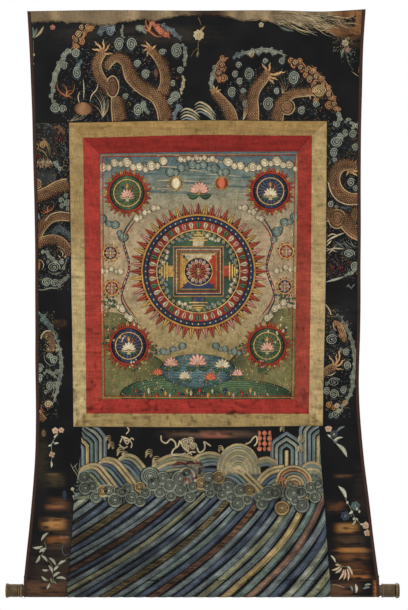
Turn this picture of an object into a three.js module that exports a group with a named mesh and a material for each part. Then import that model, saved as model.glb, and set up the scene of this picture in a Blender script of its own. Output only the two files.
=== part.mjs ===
// A thangka scroll: a painted canvas framed by a red and a gold silk border, set into
// panels of dark embroidered silk, hung by its top edge and weighted by a wooden roller
// with metal caps. Millimetres, +Z up, the front faces -Y. The origin is the middle of
// the top edge, where the scroll is held.
import * as THREE from 'three';

const { clamp, degToRad, lerp, smoothstep } = THREE.MathUtils;

// Cloth and sewing
const CLOTH = 2;
const SEAM_GAP = 0.3;
const BINDING_WIDTH = 8;
const CELL = 42;

// Roller, seen along its length
const DOWEL_RADIUS = 14;
const ROLLER_Z = -1450;
const SLEEVE_RADIUS = 15.7;
const SLEEVE_STEPS = 16;
const SLEEVE_NECK = 10;
const HEM_OVERLAP = 12;
const ROUND_SIDES = 24;
const CAP_BORE = 14.4;
const CAP_END_WALL = 4;

// The two long edges of the hanging, listed from the top edge down
const LEFT_EDGE = [
  { down: 0, x: -422 },
  { down: 74, x: -417.5 },
  { down: 224, x: -411 },
  { down: 400, x: -406 },
  { down: 550, x: -402.5 },
  { down: 850, x: -401.5 },
  { down: 1110, x: -402 },
  { down: 1174, x: -406.5 },
  { down: 1274, x: -415 },
  { down: 1374, x: -425.5 },
  { down: 1440, x: -432 },
];
const RIGHT_EDGE = [
  { down: 0, x: 424 },
  { down: 74, x: 419 },
  { down: 224, x: 414.5 },
  { down: 374, x: 412 },
  { down: 600, x: 411.5 },
  { down: 800, x: 410 },
  { down: 936, x: 407 },
  { down: 1049, x: 412.5 },
  { down: 1124, x: 420 },
  { down: 1200, x: 430 },
  { down: 1374, x: 451 },
  { down: 1440, x: 460 },
];

// The seams between the lower middle panel and the panels beside it
const LEFT_SEAM = [
  { down: 1040, x: -284.5 },
  { down: 1131, x: -292 },
  { down: 1216, x: -305 },
  { down: 1286, x: -309 },
  { down: 1356, x: -314 },
  { down: 1440, x: -323 },
];
const RIGHT_SEAM = [
  { down: 1040, x: 308 },
  { down: 1131, x: 313 },
  { down: 1224, x: 321 },
  { down: 1299, x: 326 },
  { down: 1374, x: 331 },
  { down: 1440, x: 337.5 },
];

// Height of the top edge along the scroll
const TOP_EDGE = [
  { x: -422, z: -1.5 },
  { x: -250, z: 1 },
  { x: 0, z: 0 },
  { x: 200, z: 0.5 },
  { x: 330, z: -2 },
  { x: 424, z: 3.5 },
];

// Four-cornered outlines, and how far each side bows outwards at its middle
const GOLD_OUTLINE = {
  tl: [-317.5, -280], tr: [327.5, -276], br: [317, -1038], bl: [-306, -1040],
  bow: { top: 3.5, right: 2, bottom: 2, left: 0 },
};
const RED_OUTLINE = {
  tl: [-282, -318], tr: [290, -312], br: [282.5, -1008], bl: [-274, -1007],
  bow: { top: 4, right: 1, bottom: 0, left: 0 },
};
const PAINTING_OUTLINE = {
  tl: [-241, -358], tr: [255, -352], br: [246, -971], bl: [-235.5, -971],
  bow: { top: 2, right: 0, bottom: 0, left: -1 },
};

// Caps, from the end nearest the cloth outwards
const LEFT_CAP_X = -433;
const LEFT_CAP = [
  { along: 0, radius: 15.6 },
  { along: 1.5, radius: 16.8 },
  { along: 4.5, radius: 16.8 },
  { along: 6.5, radius: 15.4 },
  { along: 9, radius: 16.6 },
  { along: 12, radius: 15.6 },
  { along: 14, radius: 16.2 },
  { along: 32, radius: 15.9 },
  { along: 36, radius: 17.2 },
  { along: 38, radius: 18 },
  { along: 40.5, radius: 18 },
  { along: 42, radius: 16.6 },
];
const RIGHT_CAP_X = 464;
const RIGHT_CAP_LENGTH = 44;
const RIB_COUNT = 9;
const RIB_PITCH = 3;
const RIB_START = 5;
const RIB_RADIUS = 17;
const RIB_DEPTH = 0.7;

const silk = (color) => new THREE.MeshStandardMaterial({ color, roughness: 0.75, metalness: 0 });
const DARK_SILK = silk('#23221f');
const GOLD_SILK = silk('#a98a58');
const RED_SILK = silk('#97332b');
const EDGE_SILK = silk('#492f2a');
const CANVAS = silk('#7f6d57');
const WOOD = new THREE.MeshStandardMaterial({ color: '#5b4430', roughness: 0.6, metalness: 0 });
const BRASS = new THREE.MeshStandardMaterial({ color: '#7d6743', roughness: 0.45, metalness: 0.8 });

// A table of rows as a smooth curve: the value at a key.
function tableCurve(rows, key, value) {
  const curve = new THREE.CubicInterpolant(
    rows.map((row) => row[key]),
    rows.map((row) => row[value]),
    1,
  );
  return (at) => curve.evaluate(clamp(at, rows[0][key], rows.at(-1)[key]))[0];
}

const leftEdgeX = tableCurve(LEFT_EDGE, 'down', 'x');
const rightEdgeX = tableCurve(RIGHT_EDGE, 'down', 'x');
const leftSeamX = tableCurve(LEFT_SEAM, 'down', 'x');
const rightSeamX = tableCurve(RIGHT_SEAM, 'down', 'x');
const topEdgeZ = tableCurve(TOP_EDGE, 'x', 'z');

// How far the cloth stands back from its hanging plane: shallow waves left by rolling,
// soft upright folds in the flared foot, and long edges that curl forward at the waist.
function clothDepth(x, z) {
  const hangsFree = smoothstep(-z, 0, 150) * (1 - smoothstep(-z, 1290, 1400));
  const rollWaves = 2.2 * Math.sin((z + 0.12 * x) / 50 + 0.6)
    + 1.3 * Math.sin((z - 0.2 * x) / 28 + 2);
  const footFolds = 4 * smoothstep(-z, 1040, 1180) * Math.sin(x / 62 + 1.1);
  const waist = smoothstep(-z, 250, 600) * (1 - smoothstep(-z, 1050, 1250));
  const curl = 5 * waist * smoothstep(Math.abs(x - 4), 300, 410) ** 2;
  return hangsFree * (rollWaves + footFolds - curl);
}

// From nothing at both ends of a side to one at its middle.
const swell = (along) => Math.sin(Math.PI * along) ** 2;

// The shared seams across the scroll, above and below the framed painting. Beyond the
// gold border they run straight on to the long edges.
function crossSeam(left, right, bow) {
  return (x) => {
    const along = (x - left[0]) / (right[0] - left[0]);
    return lerp(left[1], right[1], along) + bow * swell(clamp(along, 0, 1));
  };
}
const headSeamZ = crossSeam(GOLD_OUTLINE.tl, GOLD_OUTLINE.tr, GOLD_OUTLINE.bow.top);
const footSeamZ = crossSeam(GOLD_OUTLINE.bl, GOLD_OUTLINE.br, -GOLD_OUTLINE.bow.bottom);

// Where a long edge or seam meets a cross seam.
function meeting(edgeX, crossZ) {
  const start = new THREE.Vector2(edgeX(0), 0);
  for (let pass = 0; pass < 8; pass += 1) {
    start.y = crossZ(start.x);
    start.x = edgeX(-start.y);
  }
  return start;
}

// A side of a panel that follows an edge curve down from one height to another.
function downEdge(edgeX, fromZ, toZ) {
  return (t) => {
    const z = lerp(fromZ, toZ, t);
    return new THREE.Vector2(edgeX(-z), z);
  };
}

// A side of a panel that follows a cross seam from one x to another.
function acrossEdge(crossZ, fromX, toX) {
  return (t) => {
    const x = lerp(fromX, toX, t);
    return new THREE.Vector2(x, crossZ(x));
  };
}

// A straight side between two corners, bowed at its middle along its left-hand normal.
function bowedEdge(from, to, bow) {
  const start = new THREE.Vector2(...from);
  const run = new THREE.Vector2(...to).sub(start);
  const normal = new THREE.Vector2(-run.y, run.x).normalize();
  return (t) => start.clone()
    .addScaledVector(run, t)
    .addScaledVector(normal, bow * swell(t));
}

// The four sides of an outline, each from left to right or from top to bottom.
function outlineSides({ tl, tr, br, bl, bow }) {
  return {
    top: bowedEdge(tl, tr, bow.top),
    bottom: bowedEdge(bl, br, -bow.bottom),
    left: bowedEdge(tl, bl, -bow.left),
    right: bowedEdge(tr, br, bow.right),
  };
}

// A grid of flat points that fills the space between four sides.
function fillBetween({ top, bottom, left, right }) {
  const columns = Math.max(1, Math.round(top(0).distanceTo(top(1)) / CELL));
  const rows = Math.max(1, Math.round(left(0).distanceTo(left(1)) / CELL));
  const corner = { tl: top(0), tr: top(1), bl: bottom(0), br: bottom(1) };
  return Array.from({ length: rows + 1 }, (_, row) => {
    const v = row / rows;
    return Array.from({ length: columns + 1 }, (__, column) => {
      const u = column / columns;
      const point = top(u).multiplyScalar(1 - v);
      point.addScaledVector(bottom(u), v);
      point.addScaledVector(left(v), 1 - u);
      point.addScaledVector(right(v), u);
      point.addScaledVector(corner.tl, -(1 - u) * (1 - v));
      point.addScaledVector(corner.tr, -u * (1 - v));
      point.addScaledVector(corner.bl, -(1 - u) * v);
      return point.addScaledVector(corner.br, -u * v);
    });
  });
}

// The grid with its sewn sides drawn in by half the seam gap.
function drawnIn(grid, sewn) {
  const lastRow = grid.length - 1;
  const lastColumn = grid[0].length - 1;
  const inward = (from, to, side) => {
    const run = to.clone().sub(from).normalize();
    return new THREE.Vector2(-run.y, run.x).multiplyScalar(side);
  };
  return grid.map((points, row) => points.map((point, column) => {
    const inwards = [];
    const before = grid[row][Math.max(0, column - 1)];
    const after = grid[row][Math.min(lastColumn, column + 1)];
    const above = grid[Math.max(0, row - 1)][column];
    const below = grid[Math.min(lastRow, row + 1)][column];
    if (row === 0 && sewn.top) inwards.push(inward(before, after, -1));
    if (row === lastRow && sewn.bottom) inwards.push(inward(before, after, 1));
    if (column === 0 && sewn.left) inwards.push(inward(above, below, 1));
    if (column === lastColumn && sewn.right) inwards.push(inward(above, below, -1));
    const [first, second] = inwards;
    const shift = first ? first.clone() : new THREE.Vector2();
    if (second) shift.add(second).divideScalar(1 + first.dot(second));
    return point.clone().addScaledVector(shift, SEAM_GAP / 2);
  }));
}

// Flat points laid on the hanging cloth, each with the way its front faces.
function onCloth(grid) {
  return grid.map((points) => points.map(({ x, y: z }) => ({
    middle: new THREE.Vector3(x, clothDepth(x, z), z),
    front: new THREE.Vector3(0, -1, 0),
  })));
}

// The path of the cloth round the roller, as [y, z]: from the stitch line down the front,
// under, up the back, and on as a hem behind the hanging cloth.
const HEM_Y = CLOTH + SEAM_GAP;
const ROLLER_Y = HEM_Y / 2;
const STITCH_Z = ROLLER_Z + SLEEVE_RADIUS + SLEEVE_NECK;
function sleevePath() {
  const touching = (y, side) => {
    const towards = Math.atan2(STITCH_Z - ROLLER_Z, y - ROLLER_Y);
    const reach = Math.hypot(STITCH_Z - ROLLER_Z, y - ROLLER_Y);
    return towards + side * Math.acos(SLEEVE_RADIUS / reach);
  };
  const from = touching(0, 1);
  const to = touching(HEM_Y, -1) + 2 * Math.PI;
  const path = [[0, STITCH_Z]];
  for (let step = 0; step <= SLEEVE_STEPS; step += 1) {
    const angle = lerp(from, to, step / SLEEVE_STEPS);
    path.push([
      ROLLER_Y + SLEEVE_RADIUS * Math.cos(angle),
      ROLLER_Z + SLEEVE_RADIUS * Math.sin(angle),
    ]);
  }
  path.push([HEM_Y, STITCH_Z], [HEM_Y, STITCH_Z + HEM_OVERLAP]);
  return path.map(([y, z]) => new THREE.Vector2(y, z));
}

// Rows of cloth round the roller, below a last row of hanging cloth.
function sleeveRows(hangingRow) {
  const path = sleevePath();
  const outward = (from, to) => {
    const run = to.clone().sub(from).normalize();
    return new THREE.Vector2(run.y, -run.x);
  };
  const straightDown = new THREE.Vector2(-1, 0);
  return path.map((point, index) => {
    const before = index ? outward(path[index - 1], point) : straightDown;
    const after = index < path.length - 1 ? outward(point, path[index + 1]) : before;
    const mitre = before.clone().add(after).divideScalar(1 + before.dot(after));
    return hangingRow.map(({ middle }) => ({
      middle: new THREE.Vector3(middle.x, point.x, point.y),
      front: new THREE.Vector3(0, mitre.x, mitre.y),
    }));
  });
}

// A closed sheet of cloth from rows of middle points.
function clothMesh(name, rows, material) {
  const columns = rows[0].length;
  const at = (row, column, back) => (row * columns + column) * 2 + (back ? 1 : 0);
  const positions = rows.flat().flatMap(({ middle, front }) => [1, -1].flatMap(
    (side) => middle.clone().addScaledVector(front, side * CLOTH / 2).toArray(),
  ));
  const index = [];
  const quad = (a, b, c, d) => index.push(a, b, c, a, c, d);
  for (let row = 0; row < rows.length - 1; row += 1) {
    for (let column = 0; column < columns - 1; column += 1) {
      const corners = [[row, column], [row + 1, column], [row + 1, column + 1], [row, column + 1]];
      const front = corners.map(([r, c]) => at(r, c, false));
      const back = corners.map(([r, c]) => at(r, c, true));
      quad(...front);
      index.push(back[2], back[1], back[0], back[3], back[2], back[0]);
    }
  }
  const wall = (from, to) => quad(at(...from, false), at(...to, false), at(...to, true), at(...from, true));
  for (let column = 0; column < columns - 1; column += 1) {
    wall([0, column], [0, column + 1]);
    wall([rows.length - 1, column + 1], [rows.length - 1, column]);
  }
  for (let row = 0; row < rows.length - 1; row += 1) {
    wall([row + 1, 0], [row, 0]);
    wall([row, columns - 1], [row + 1, columns - 1]);
  }
  const geometry = new THREE.BufferGeometry();
  geometry.setAttribute('position', new THREE.Float32BufferAttribute(positions, 3));
  geometry.setIndex(index);
  geometry.computeVertexNormals();
  const mesh = new THREE.Mesh(geometry, material);
  mesh.name = name;
  return mesh;
}

const ALL_SEWN = { top: true, right: true, bottom: true, left: true };

// A panel that hangs flat between four sides.
function hangingPanel(name, sides, material, sewn = ALL_SEWN) {
  return clothMesh(name, onCloth(drawnIn(fillBetween(sides), sewn)), material);
}

// A panel that hangs down to the roller and wraps it.
function rollerPanel(name, sides, material, sewn) {
  const hanging = onCloth(drawnIn(fillBetween(sides), sewn));
  const wrapped = sleeveRows(hanging.at(-1));
  return clothMesh(name, [...hanging.slice(0, -1), ...wrapped], material);
}

// The dark silk panels round the framed painting.
const leftBound = (down) => leftEdgeX(down) + BINDING_WIDTH;
const rightBound = (down) => rightEdgeX(down) - BINDING_WIDTH;
const head = { left: meeting(leftBound, headSeamZ), right: meeting(rightBound, headSeamZ) };
const foot = { left: meeting(leftBound, footSeamZ), right: meeting(rightBound, footSeamZ) };
const stitchSeam = () => STITCH_Z;

function topPanel() {
  const topLeft = meeting(leftBound, topEdgeZ);
  const topRight = meeting(rightBound, topEdgeZ);
  return hangingPanel('top_panel', {
    top: acrossEdge(topEdgeZ, topLeft.x, topRight.x),
    bottom: acrossEdge(headSeamZ, head.left.x, head.right.x),
    left: downEdge(leftBound, topLeft.y, head.left.y),
    right: downEdge(rightBound, topRight.y, head.right.y),
  }, DARK_SILK, { ...ALL_SEWN, top: false });
}

function sidePanels() {
  const { tl, tr, br, bl, bow } = GOLD_OUTLINE;
  const left = hangingPanel('left_panel', {
    top: acrossEdge(headSeamZ, head.left.x, tl[0]),
    bottom: acrossEdge(footSeamZ, foot.left.x, bl[0]),
    left: downEdge(leftBound, head.left.y, foot.left.y),
    right: bowedEdge(tl, bl, -bow.left),
  }, DARK_SILK);
  const right = hangingPanel('right_panel', {
    top: acrossEdge(headSeamZ, tr[0], head.right.x),
    bottom: acrossEdge(footSeamZ, br[0], foot.right.x),
    left: bowedEdge(tr, br, bow.right),
    right: downEdge(rightBound, head.right.y, foot.right.y),
  }, DARK_SILK);
  return [left, right];
}

function lowerPanels() {
  const sewn = { ...ALL_SEWN, bottom: false };
  const between = (name, fromX, toX) => {
    const from = meeting(fromX, footSeamZ);
    const to = meeting(toX, footSeamZ);
    return rollerPanel(name, {
      top: acrossEdge(footSeamZ, from.x, to.x),
      bottom: acrossEdge(stitchSeam, fromX(-STITCH_Z), toX(-STITCH_Z)),
      left: downEdge(fromX, from.y, STITCH_Z),
      right: downEdge(toX, to.y, STITCH_Z),
    }, DARK_SILK, sewn);
  };
  return [
    between('lower_left_panel', leftBound, leftSeamX),
    between('lower_middle_panel', leftSeamX, rightSeamX),
    between('lower_right_panel', rightSeamX, rightBound),
  ];
}

// The narrow silk bindings of the two long edges.
function bindings() {
  const binding = (name, fromX, toX, sewn) => {
    const topZ = topEdgeZ(fromX(0));
    return rollerPanel(name, {
      top: acrossEdge(() => topZ, fromX(0), toX(0)),
      bottom: acrossEdge(stitchSeam, fromX(-STITCH_Z), toX(-STITCH_Z)),
      left: downEdge(fromX, topZ, STITCH_Z),
      right: downEdge(toX, topZ, STITCH_Z),
    }, EDGE_SILK, sewn);
  };
  return [
    binding('left_binding', leftEdgeX, leftBound, { right: true }),
    binding('right_binding', rightBound, rightEdgeX, { left: true }),
  ];
}

// Four mitred strips between an outer and an inner outline.
function border(colour, outer, inner, material) {
  const out = outlineSides(outer);
  const into = outlineSides(inner);
  const mitre = (corner) => bowedEdge(outer[corner], inner[corner], 0);
  const back = (corner) => bowedEdge(inner[corner], outer[corner], 0);
  return [
    hangingPanel(`${colour}_top`, {
      top: out.top, bottom: into.top, left: mitre('tl'), right: mitre('tr'),
    }, material),
    hangingPanel(`${colour}_bottom`, {
      top: into.bottom, bottom: out.bottom, left: back('bl'), right: back('br'),
    }, material),
    hangingPanel(`${colour}_left`, {
      top: mitre('tl'), bottom: mitre('bl'), left: out.left, right: into.left,
    }, material),
    hangingPanel(`${colour}_right`, {
      top: back('tr'), bottom: back('br'), left: into.right, right: out.right,
    }, material),
  ];
}

// A cap: a turned cup that the end of the dowel fills.
function cap(name, x, side, outside) {
  const length = outside.at(-1).along;
  const boreEnd = length - CAP_END_WALL;
  const profile = [
    new THREE.Vector2(0, boreEnd),
    new THREE.Vector2(CAP_BORE, boreEnd),
    new THREE.Vector2(CAP_BORE, 0),
    ...outside.map(({ along, radius }) => new THREE.Vector2(radius, along)),
    new THREE.Vector2(0, length),
  ];
  const mesh = new THREE.Mesh(new THREE.LatheGeometry(profile, ROUND_SIDES), BRASS);
  mesh.name = name;
  mesh.rotation.z = -side * Math.PI / 2;
  mesh.position.set(x, ROLLER_Y, ROLLER_Z);
  return mesh;
}

function ribbedCapOutside() {
  const ribs = Array.from({ length: RIB_COUNT }, (_, rib) => {
    const along = RIB_START + rib * RIB_PITCH;
    return [
      { along, radius: RIB_RADIUS - RIB_DEPTH },
      { along: along + RIB_PITCH / 2, radius: RIB_RADIUS },
    ];
  }).flat();
  const ribsEnd = RIB_START + RIB_COUNT * RIB_PITCH;
  return [
    { along: 0, radius: 16.6 },
    { along: 1, radius: 17.4 },
    { along: 3.5, radius: 17.4 },
    ...ribs,
    { along: ribsEnd, radius: RIB_RADIUS - 1 },
    { along: ribsEnd + 2, radius: RIB_RADIUS - 1 },
    { along: ribsEnd + 3.5, radius: 19 },
    { along: ribsEnd + 7.5, radius: 19 },
    { along: ribsEnd + 9, radius: 17.8 },
    { along: RIGHT_CAP_LENGTH - 0.5, radius: 17.4 },
    { along: RIGHT_CAP_LENGTH, radius: 16.4 },
  ];
}

function roller() {
  const capEnd = CAP_END_WALL + SEAM_GAP;
  const fromX = LEFT_CAP_X - LEFT_CAP.at(-1).along + capEnd;
  const toX = RIGHT_CAP_X + RIGHT_CAP_LENGTH - capEnd;
  const shape = new THREE.CylinderGeometry(DOWEL_RADIUS, DOWEL_RADIUS, toX - fromX, ROUND_SIDES);
  const dowel = new THREE.Mesh(shape, WOOD);
  dowel.name = 'dowel';
  dowel.rotation.z = degToRad(-90);
  dowel.position.set((fromX + toX) / 2, ROLLER_Y, ROLLER_Z);
  return [
    dowel,
    cap('left_cap', LEFT_CAP_X, -1, LEFT_CAP),
    cap('right_cap', RIGHT_CAP_X, 1, ribbedCapOutside()),
  ];
}

function painting() {
  return hangingPanel('painting', outlineSides(PAINTING_OUTLINE), CANVAS);
}

const scroll = new THREE.Group();
scroll.add(
  topPanel(),
  ...sidePanels(),
  ...lowerPanels(),
  ...bindings(),
  ...border('gold', GOLD_OUTLINE, RED_OUTLINE, GOLD_SILK),
  ...border('red', RED_OUTLINE, PAINTING_OUTLINE, RED_SILK),
  painting(),
  ...roller(),
);

export default scroll;
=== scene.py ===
# The looks of a thangka scroll: dark silk panels with worn embroidery, gold and red silk
# borders, a painted canvas, a cloth-wrapped roller and its caps.
# Drawing is in millimetres: x to the viewer's right and z up the cloth as it lies unrolled,
# 0 at the top edge. Below the stitch line z runs on round the roller and up its hem.
import math
from collections import namedtuple

import bpy
import numpy as np
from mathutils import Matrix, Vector


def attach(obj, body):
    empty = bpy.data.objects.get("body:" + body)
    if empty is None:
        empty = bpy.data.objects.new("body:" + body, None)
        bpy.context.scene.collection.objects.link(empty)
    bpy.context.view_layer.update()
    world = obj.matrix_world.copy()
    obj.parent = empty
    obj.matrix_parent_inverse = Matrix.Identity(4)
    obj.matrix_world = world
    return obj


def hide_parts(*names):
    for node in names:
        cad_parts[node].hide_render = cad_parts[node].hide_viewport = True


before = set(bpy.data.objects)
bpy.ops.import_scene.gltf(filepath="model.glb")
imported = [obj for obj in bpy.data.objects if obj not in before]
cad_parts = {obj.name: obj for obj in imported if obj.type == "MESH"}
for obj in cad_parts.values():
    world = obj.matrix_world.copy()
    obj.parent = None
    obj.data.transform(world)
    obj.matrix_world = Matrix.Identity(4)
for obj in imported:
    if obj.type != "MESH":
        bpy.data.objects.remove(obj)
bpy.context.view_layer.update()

MM = 0.001
RNG = np.random.default_rng(7)

# Cloth, as in the part's source
CLOTH = 2.0
BINDING_WIDTH = 8.0
ROLLER_Z = -1450.0
SLEEVE_RADIUS = 15.7
STITCH_Z = ROLLER_Z + SLEEVE_RADIUS + 10.0
HEM_Y = CLOTH + 0.3
HEM_OVERLAP = 12.0

# The fine sheets: thickness, spacing of points, and how a seam draws the silk in
SHEET = CLOTH - 0.2
CELL = 6.0
LOWER_SIDE_CELL = 3.2
BINDING_CELL = 5.0
STRIP_CELL = 4.2
CANVAS_CELL = 5.8
SEAM_POINTS = (0.7, 1.9)
SEAM_TUCK = 0.8
SEAM_REACH = 1.4

# Strokes: chord error, longest step, widest column, what is narrow or low, and the panel's margins
SAG = 0.2
LONGEST_STEP = 22
COLUMN = 14
NARROW = 1.7
LOW = 0.12
SIDE_MARGIN = 0.5
END_MARGIN = 0.4

# The camera looks straight on at the whole of the photograph's field
FIELD = 1.525
FIELD_CENTRE = (0.020, -0.736)
CAMERA_DISTANCE = 4.6
SENSOR = 36.0
FLOOR_Z = -1.76
FLOOR_REACH = 1.4
AIM = (0, 0, -0.7)
LIGHT_GAIN = 1.22

Corners = namedtuple("Corners", "tl tr br bl top right bottom left")
GOLD = Corners((-317.5, -280), (327.5, -276), (317, -1038), (-306, -1040), 3.5, 2, 2, 0)
RED = Corners((-282, -318), (290, -312), (282.5, -1008), (-274, -1007), 4, 1, 0, 0)
CANVAS = Corners((-241, -358), (255, -352), (246, -971), (-235.5, -971), 2, 0, 0, -1)


def hermite(at, value, t):
    """A smooth curve through value at the knots at, read at t."""
    slope = np.gradient(value, at)
    t = np.clip(t, at[0], at[-1])
    i = np.clip(np.searchsorted(at, t) - 1, 0, len(at) - 2)
    step = at[i + 1] - at[i]
    k = (t - at[i]) / step
    start = value[i] * (1 + 2 * k) * (1 - k) ** 2 + step * slope[i] * k * (1 - k) ** 2
    end = value[i + 1] * k * k * (3 - 2 * k) + step * slope[i + 1] * k * k * (k - 1)
    return start + end


def down_curve(*rows, shift=0.0):
    """x as a smooth function of z, from rows of (distance down, x)."""
    at, value = np.array(rows, float).T
    return lambda z: hermite(at, value + shift, np.minimum(-z, -STITCH_Z))


LEFT_ROWS = ((0, -422), (74, -417.5), (224, -411), (400, -406), (550, -402.5), (850, -401.5),
             (1110, -402), (1174, -406.5), (1274, -415), (1374, -425.5), (1440, -432))
RIGHT_ROWS = ((0, 424), (74, 419), (224, 414.5), (374, 412), (600, 411.5), (800, 410),
              (936, 407), (1049, 412.5), (1124, 420), (1200, 430), (1374, 451), (1440, 460))
left_edge = down_curve(*LEFT_ROWS)
right_edge = down_curve(*RIGHT_ROWS)
left_bound = down_curve(*LEFT_ROWS, shift=BINDING_WIDTH)
right_bound = down_curve(*RIGHT_ROWS, shift=-BINDING_WIDTH)
left_seam = down_curve((1040, -284.5), (1131, -292), (1216, -305), (1286, -309), (1356, -314),
                       (1440, -323))
right_seam = down_curve((1040, 308), (1131, 313), (1224, 321), (1299, 326), (1374, 331),
                        (1440, 337.5))


def swell(along):
    """0 at both ends of a seam and 1 at its middle."""
    return np.sin(np.pi * np.clip(along, 0, 1)) ** 2


def across(a, b, bow=0.0):
    """z as a function of x on a seam from a to b, bowed at its middle."""
    def seam(x):
        along = (x - a[0]) / (b[0] - a[0])
        return a[1] + (b[1] - a[1]) * along + bow * swell(along)
    return seam


def upright(a, b, bow=0.0):
    """x as a function of z on a seam from a down to b, bowed at its middle."""
    def seam(z):
        along = (z - a[1]) / (b[1] - a[1])
        return a[0] + (b[0] - a[0]) * along + bow * swell(along)
    return seam


def top_edge(x):
    """z of the cloth's slightly waved top edge."""
    knots = np.array([-422, -250, 0, 200, 330, 424], float)
    heights = np.array([-1.5, 1, 0, 0.5, -2, 3.5])
    return hermite(knots, heights, x)


head_seam = across(GOLD.tl, GOLD.tr, GOLD.top)
foot_seam = across(GOLD.bl, GOLD.br, -GOLD.bottom)


def smoothstep(value, low, high):
    """0 below low, 1 above high, and smooth between."""
    k = np.clip((value - low) / (high - low), 0, 1)
    return k * k * (3 - 2 * k)


def cloth_depth(x, z):
    """How far the cloth stands back from its hanging plane, with the part's own folds."""
    hangs_free = smoothstep(-z, 0, 150) * (1 - smoothstep(-z, 1290, 1400))
    roll_waves = 2.2 * np.sin((z + 0.12 * x) / 50 + 0.6) + 1.3 * np.sin((z - 0.2 * x) / 28 + 2)
    foot_folds = 4 * smoothstep(-z, 1040, 1180) * np.sin(x / 62 + 1.1)
    waist = smoothstep(-z, 250, 600) * (1 - smoothstep(-z, 1050, 1250))
    curl = 5 * waist * smoothstep(np.abs(x - 4), 300, 410) ** 2
    return hangs_free * (roll_waves + foot_folds - curl) + creases(x, z)


# Creases pressed in by rolling: a soft trough from one x to another, sloping a little.
Crease = namedtuple("Crease", "down x_from x_to slope depth reach")
CREASES = [
    Crease(92, -420, 60, 0.01, 0.5, 9), Crease(171, 30, 420, -0.02, 0.6, 8),
    Crease(352, 240, 415, 0.01, 0.9, 6), Crease(444, 250, 410, -0.01, 0.8, 6),
    Crease(463, 240, 400, 0.02, 0.6, 5), Crease(545, -400, -230, 0.01, 0.6, 8),
    Crease(655, 180, 408, 0.015, 0.6, 7), Crease(792, -402, -220, -0.02, 0.9, 6),
    Crease(858, -400, -250, 0.01, 0.7, 6), Crease(905, 200, 405, 0.0, 0.6, 7),
    Crease(968, -300, 300, 0.004, 0.5, 9), Crease(1098, -400, -290, 0.03, 0.8, 8),
    Crease(1205, 330, 430, -0.03, 0.9, 8), Crease(1290, 325, 440, 0.02, 0.9, 9),
    Crease(1325, -420, -310, 0.03, 1.0, 9), Crease(1368, 330, 450, 0.0, 0.9, 7),
]


def creases(x, z):
    """How far the creases press the cloth back."""
    total = np.zeros(np.broadcast(x, z).shape)
    for c in CREASES:
        away = z + c.down - c.slope * (x - c.x_from)
        inside = smoothstep(x, c.x_from, c.x_from + 40) * (1 - smoothstep(x, c.x_to - 40, c.x_to))
        total += c.depth * inside * np.exp(-(away / c.reach) ** 2)
    return total


def sleeve_path():
    """Arc length, points (y, z) and outward normals of the cloth round the roller."""
    roller = np.array([HEM_Y / 2, ROLLER_Z])

    def tangent_angle(y, side):
        dy, dz = y - roller[0], STITCH_Z - roller[1]
        return math.atan2(dz, dy) + side * math.acos(SLEEVE_RADIUS / math.hypot(dy, dz))

    angles = np.linspace(tangent_angle(0, 1), tangent_angle(HEM_Y, -1) + 2 * math.pi, 49)
    ring = roller + SLEEVE_RADIUS * np.stack([np.cos(angles), np.sin(angles)], axis=1)
    points = np.vstack([[0, STITCH_Z], ring, [HEM_Y, STITCH_Z], [HEM_Y, STITCH_Z + HEM_OVERLAP]])
    runs = np.diff(points, axis=0)
    runs /= np.linalg.norm(runs, axis=1)[:, None]
    runs = np.vstack([[0, -1], runs, runs[-1]])
    turned = (runs[:-1] + runs[1:]) / (1 + (runs[:-1] * runs[1:]).sum(axis=1))[:, None]
    normals = np.stack([turned[:, 1], -turned[:, 0]], axis=1)
    arc = np.concatenate([[0], np.cumsum(np.linalg.norm(np.diff(points, axis=0), axis=1))])
    return arc, points, normals


ARC, SLEEVE, SLEEVE_OUT = sleeve_path()
HEM_END = STITCH_Z - ARC[-1]


def on_cloth(x, z, out):
    """Metres in the frame, of points out from the middle of the cloth towards its front."""
    x, z, out = np.broadcast_arrays(np.asarray(x, float), z, out)
    run = np.clip(STITCH_Z - z, 0, ARC[-1])
    wrapped = [np.interp(run, ARC, SLEEVE[:, k]) + out * np.interp(run, ARC, SLEEVE_OUT[:, k])
               for k in (0, 1)]
    hanging = z > STITCH_Z
    y = np.where(hanging, cloth_depth(x, np.maximum(z, STITCH_Z)) - out, wrapped[0])
    return np.stack([x, y, np.where(hanging, z, wrapped[1])], axis=-1) * MM


# A piece of cloth between four curves: x from z at its left and right, z from x at its top and bottom
Panel = namedtuple("Panel", "left right top bottom")


def border(outer, inner):
    """The four mitred strips between two outlines."""
    corner = {s: upright(getattr(outer, s), getattr(inner, s)) for s in ("tl", "tr", "bl", "br")}
    cut = {s: across(getattr(outer, s), getattr(inner, s)) for s in ("tl", "tr", "bl", "br")}
    return {
        "top": Panel(corner["tl"], corner["tr"], across(outer.tl, outer.tr, outer.top),
                     across(inner.tl, inner.tr, inner.top)),
        "bottom": Panel(corner["bl"], corner["br"], across(inner.bl, inner.br, -inner.bottom),
                        across(outer.bl, outer.br, -outer.bottom)),
        "left": Panel(upright(outer.tl, outer.bl, -outer.left), upright(inner.tl, inner.bl, -inner.left),
                      cut["tl"], cut["bl"]),
        "right": Panel(upright(inner.tr, inner.br, inner.right), upright(outer.tr, outer.br, outer.right),
                       cut["tr"], cut["br"]),
    }


def level(height):
    """z as a function of x on a level line."""
    return lambda x: np.full(np.shape(x), height)


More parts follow.
